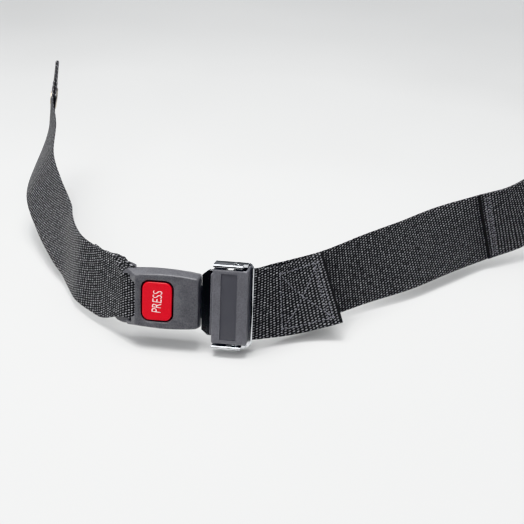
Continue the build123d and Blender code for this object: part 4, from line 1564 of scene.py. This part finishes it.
@dataclass
class FrontCover:
    """The buckle's front cover, with its ears drawn out over the webbing and its opening widened."""

    finishes: Finishes
    rear_x: float = -28.5
    face_x: float = -21.75
    # How far back and how far up the upper ear is drawn out.
    reach: Pair = (3.6, 3.8)
    # The lower ear is drawn out by this share of it.
    lower_share: float = 0.35
    # The ears lie further from the middle than this, and below this height.
    ear_from: float = 11.0
    ear_top: float = 6.0
    # Past this distance an ear's outer edge stays back, and gets only a share of the lift.
    edge_from: float = 20.5
    edge_blend: float = 4.0
    edge_lift: float = 0.4
    opening_middle: float = -6.4
    opening_half: Pair = (10.8, 13.9)
    opening_floor: float = 6.1
    opening_reach: float = 1.0
    opened: float = 0.4

    def open_up(self, local: Vector) -> None:
        """Moves a point of the button's opening outwards, for the dark gap round the button.

        Args:
            local: The point, in the hardware frame.
        """
        half_x, half_y = self.opening_half
        away_x, away_y = local.x - self.opening_middle, local.y
        beside = abs(away_x) < half_x + self.opening_reach and abs(away_y) < half_y + self.opening_reach
        if local.z > self.opening_floor and beside:
            local.x += away_x / half_x * self.opened
            local.y += away_y / half_y * self.opened

    def draw_out(self, local: Vector) -> None:
        """Moves a point of an ear back over the webbing.

        Args:
            local: The point, in the hardware frame.
        """
        share = ease((self.face_x - local.x) / (self.face_x - self.rear_x))
        if share <= 0 or abs(local.y) < self.ear_from:
            return
        inner = ease((self.edge_from - abs(local.y)) / self.edge_blend)
        if local.y < 0:
            share *= self.lower_share
        local.x -= self.reach[0] * share * inner
        lift = self.edge_lift + (1 - self.edge_lift) * inner
        local.z += self.reach[1] * share * lift * ease((self.ear_top - local.z) / self.ear_top)

    def build(self) -> list[Object]:
        """Redraws a copy of the CAD cover.

        Returns:
            The cover.
        """
        piece = merged_copy("buckle_front_cover", "moulded_front_cover")
        for vertex in piece.data.vertices:
            local = local_place(vertex.co)
            self.open_up(local)
            self.draw_out(local)
            vertex.co = mesh_place(local)
        piece.data.set_sharp_from_angle(angle=math.radians(30))
        settle(piece, self.finishes.cover_plastic, Body.BUCKLE_SIDE, "cover_plastic", "buckle_front_cover")
        return [piece]


@dataclass
class CoilSprings:
    """The two springs that are pressed by a moving piece, each a copy of its CAD node."""

    finishes: Finishes
    # Each spring's node, the joint that presses it, and how far its free end is pressed.
    pressed: tuple[tuple[str, str, float], ...] = (
        ("button_spring", "button_press", 3.0),
        ("latch_spring", "latch_swing", 2.9),
    )

    def build(self) -> list[Object]:
        """Both springs, each standing for its CAD node."""
        return [self.spring(*facts) for facts in self.pressed]

    def spring(self, node: str, joint: str, travel: float) -> Object:
        """Makes one spring, a copy of its CAD node.

        Args:
            node: The CAD spring.
            joint: The joint that presses it. Not used.
            travel: How far its free end is pressed. Not used.

        Returns:
            The finished spring.
        """
        piece = merged_copy(node, f"coiled_{node}")
        settle(piece, self.finishes.spring_steel, Body.BUCKLE_SIDE, "spring_steel", node)
        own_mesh(piece)
        return piece


def dress_hardware(finishes: Finishes) -> None:
    """Gives each CAD node the finish of its material slot.

    Args:
        finishes: The belt's finishes.
    """
    for part in frame["record"]["subparts"]:
        node = frame["nodes"][part["node"]]
        material = getattr(finishes, part["material_slot"])
        if part["node"] == "adjuster_cover":
            material = finishes.adjuster_plastic
        for slot in node.material_slots:
            slot.material = material
        if not node.material_slots:
            node.data.materials.append(material)


# ---------------------------------------------------------------- studio
@dataclass(frozen=True)
class Softbox:
    """A square light."""

    name: str
    at: Triple
    towards: Triple
    watts: float
    size: float

    def build(self) -> None:
        """Adds the light to the scene."""
        lamp = bpy.data.lights.new(self.name, "AREA")
        lamp.energy, lamp.size = self.watts, self.size * MM
        holder = add_object(self.name, lamp)
        holder.location = Vector(self.at) * MM
        holder.rotation_euler = (Vector(self.towards) - Vector(self.at)).to_track_quat("-Z", "Y").to_euler()


@dataclass
class Studio:
    """Pale floor, soft lights and the camera."""

    floor_z: float = -84.0
    floor_reach: float = 20000.0
    # Distances from the left anchor at which the floor leaves the softboxes' light, and is out of it.
    pool: Pair = (500.0, 2000.0)
    softboxes: tuple[Softbox, ...] = (
        Softbox("ceiling", (230, -100, 9000), (230, -100, -50), 540.0, 18000),
        Softbox("overhead_softbox", (90, -170, 750), (170, -190, -50), 7.6, 500),
        Softbox("key_softbox", (-100, -1100, 800), (180, -150, -40), 5.0, 700),
    )
    world_hex: str = "dfe2e6"
    world_strength: float = 0.45
    # The cloths are a ring's front and back. It lies just over the floor and is turned up at its rim,
    # where it fades out. Its two sides are left open.
    cloth_middle: Pair = (230.0, -110.0)
    cloth_radii: Pair = (200.0, 480.0)
    cloth_lift: float = 0.5
    cloth_fades: float = -20.0
    cloth_top: float = 60.0
    cloth_faces: int = 96
    cloth_sides: float = 0.5
    camera_at: Triple = (343.9, -1009.3, 383.5)
    azimuth: float = 9.5
    elevation: float = 27.0
    lens: float = 92.1

    def build(self) -> None:
        """Makes the floor, the cloths, the lights and the camera."""
        self.floor()
        self.cloths()
        for softbox in self.softboxes:
            softbox.build()
        world = bpy.data.worlds.new("studio")
        world.use_nodes = True
        feed(world.node_tree.nodes["Background"], Color=hex_colour(self.world_hex),
             Strength=self.world_strength)
        bpy.context.scene.world = world
        bpy.context.scene.view_settings.view_transform = "Khronos PBR Neutral"
        self.camera()

    def cloths(self) -> None:
        """Low dark cloths before and behind the belt that only mirrors see, for the chrome's dark tones."""
        low, high, count = self.floor_z + self.cloth_lift, self.cloth_top, self.cloth_faces
        near, far = self.cloth_radii
        angles = [2 * math.pi * i / count for i in range(count)]
        vertices = [(self.cloth_middle[0] + radius * math.cos(angle),
                     self.cloth_middle[1] + radius * math.sin(angle), z)
                    for radius, z in ((near, low), (far, low), (far, high)) for angle in angles]
        faces = [(level + i, level + i + count, level + (i + 1) % count + count, level + (i + 1) % count)
                 for level in (0, count) for i in range(count)
                 if abs(math.cos(2 * math.pi * (i + 0.5) / count)) < self.cloth_sides]
        piece = mesh_object("flag", vertices, faces)
        material, tree, shader = new_material("black_felt")
        parts = add_node(tree, "SeparateXYZ", Vector=object_place(tree)).outputs
        fade = add_node(tree, "MapRange", {"interpolation_type": "SMOOTHSTEP"}, Value=parts["Z"],
                        From_Min=self.cloth_fades * MM, From_Max=high * MM, To_Min=1.0, To_Max=0.0)
        feed(shader, Alpha=fade, Base_Color=hex_colour("060607"), Roughness=1.0)
        dress(piece, material)
        piece.visible_camera = piece.visible_diffuse = piece.visible_shadow = False
        piece.visible_transmission = piece.visible_volume_scatter = False

    def floor(self) -> None:
        """A wide plain floor just under the belt, in matt paint with a faint mottle."""
        far, z = self.floor_reach, self.floor_z
        piece = mesh_object("floor", [(-far, -far, z), (far, -far, z), (far, far, z), (-far, far, z)],
                            [(0, 1, 2, 3)], smooth=False)
        material, tree, shader = new_material("studio_floor")
        place = object_place(tree)
        mottle = add_node(tree, "TexNoise", Vector=place, Scale=3.0, Detail=2.0)
        ramp = add_node(tree, "ValToRGB", {"stops": [(0.3, "d6d6d5"), (0.7, "dcdcdb")]}, Fac=mottle)
        feed(shader, Base_Color=ramp, Roughness=0.8)
        # Paler further out, where the softboxes no longer reach, so that the floor stays one tone.
        away = add_node(tree, "VectorMath", {"operation": "LENGTH"}, in_0=place)
        fade = add_node(tree, "MapRange", Value=away.outputs["Value"], From_Min=self.pool[0] * MM,
                        From_Max=self.pool[1] * MM)
        tint(shader, fade, "fcfcfb")
        dress(piece, material)

    def camera(self) -> None:
        """Adds the level camera."""
        data = bpy.data.cameras.new("camera")
        data.lens, data.sensor_width = self.lens, 36.0
        data.clip_start, data.clip_end = 0.05, 50.0
        holder = add_object("camera", data)
        azimuth, elevation = math.radians(self.azimuth), math.radians(self.elevation)
        look = Vector((-math.sin(azimuth) * math.cos(elevation), math.cos(azimuth) * math.cos(elevation),
                       -math.sin(elevation)))
        holder.location = Vector(self.camera_at) * MM
        holder.rotation_euler = look.to_track_quat("-Z", "Y").to_euler()
        bpy.context.scene.camera = holder


def corners(bounds: tuple[Vector, Vector]) -> list[list[float]]:
    """A bounding box as plain lists."""
    return [[round(c, 6) for c in corner] for corner in bounds]


def main() -> None:
    """Builds every piece in order."""
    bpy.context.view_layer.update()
    finishes = Finishes()
    stitches = StitchTree(finishes.thread)
    dress_hardware(finishes)
    for assembly in (BuckleHalf(finishes, stitches), AdjusterHalf(finishes, stitches),
                     ButtonLettering(finishes), TonguePlate(finishes), FrontCover(finishes),
                     CoilSprings(finishes)):
        for piece in assembly.build():
            LOG.info("%s: %d faces", piece.name, len(piece.data.polygons))
    Studio().build()
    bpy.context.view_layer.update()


if __name__ == "__main__":
    main()
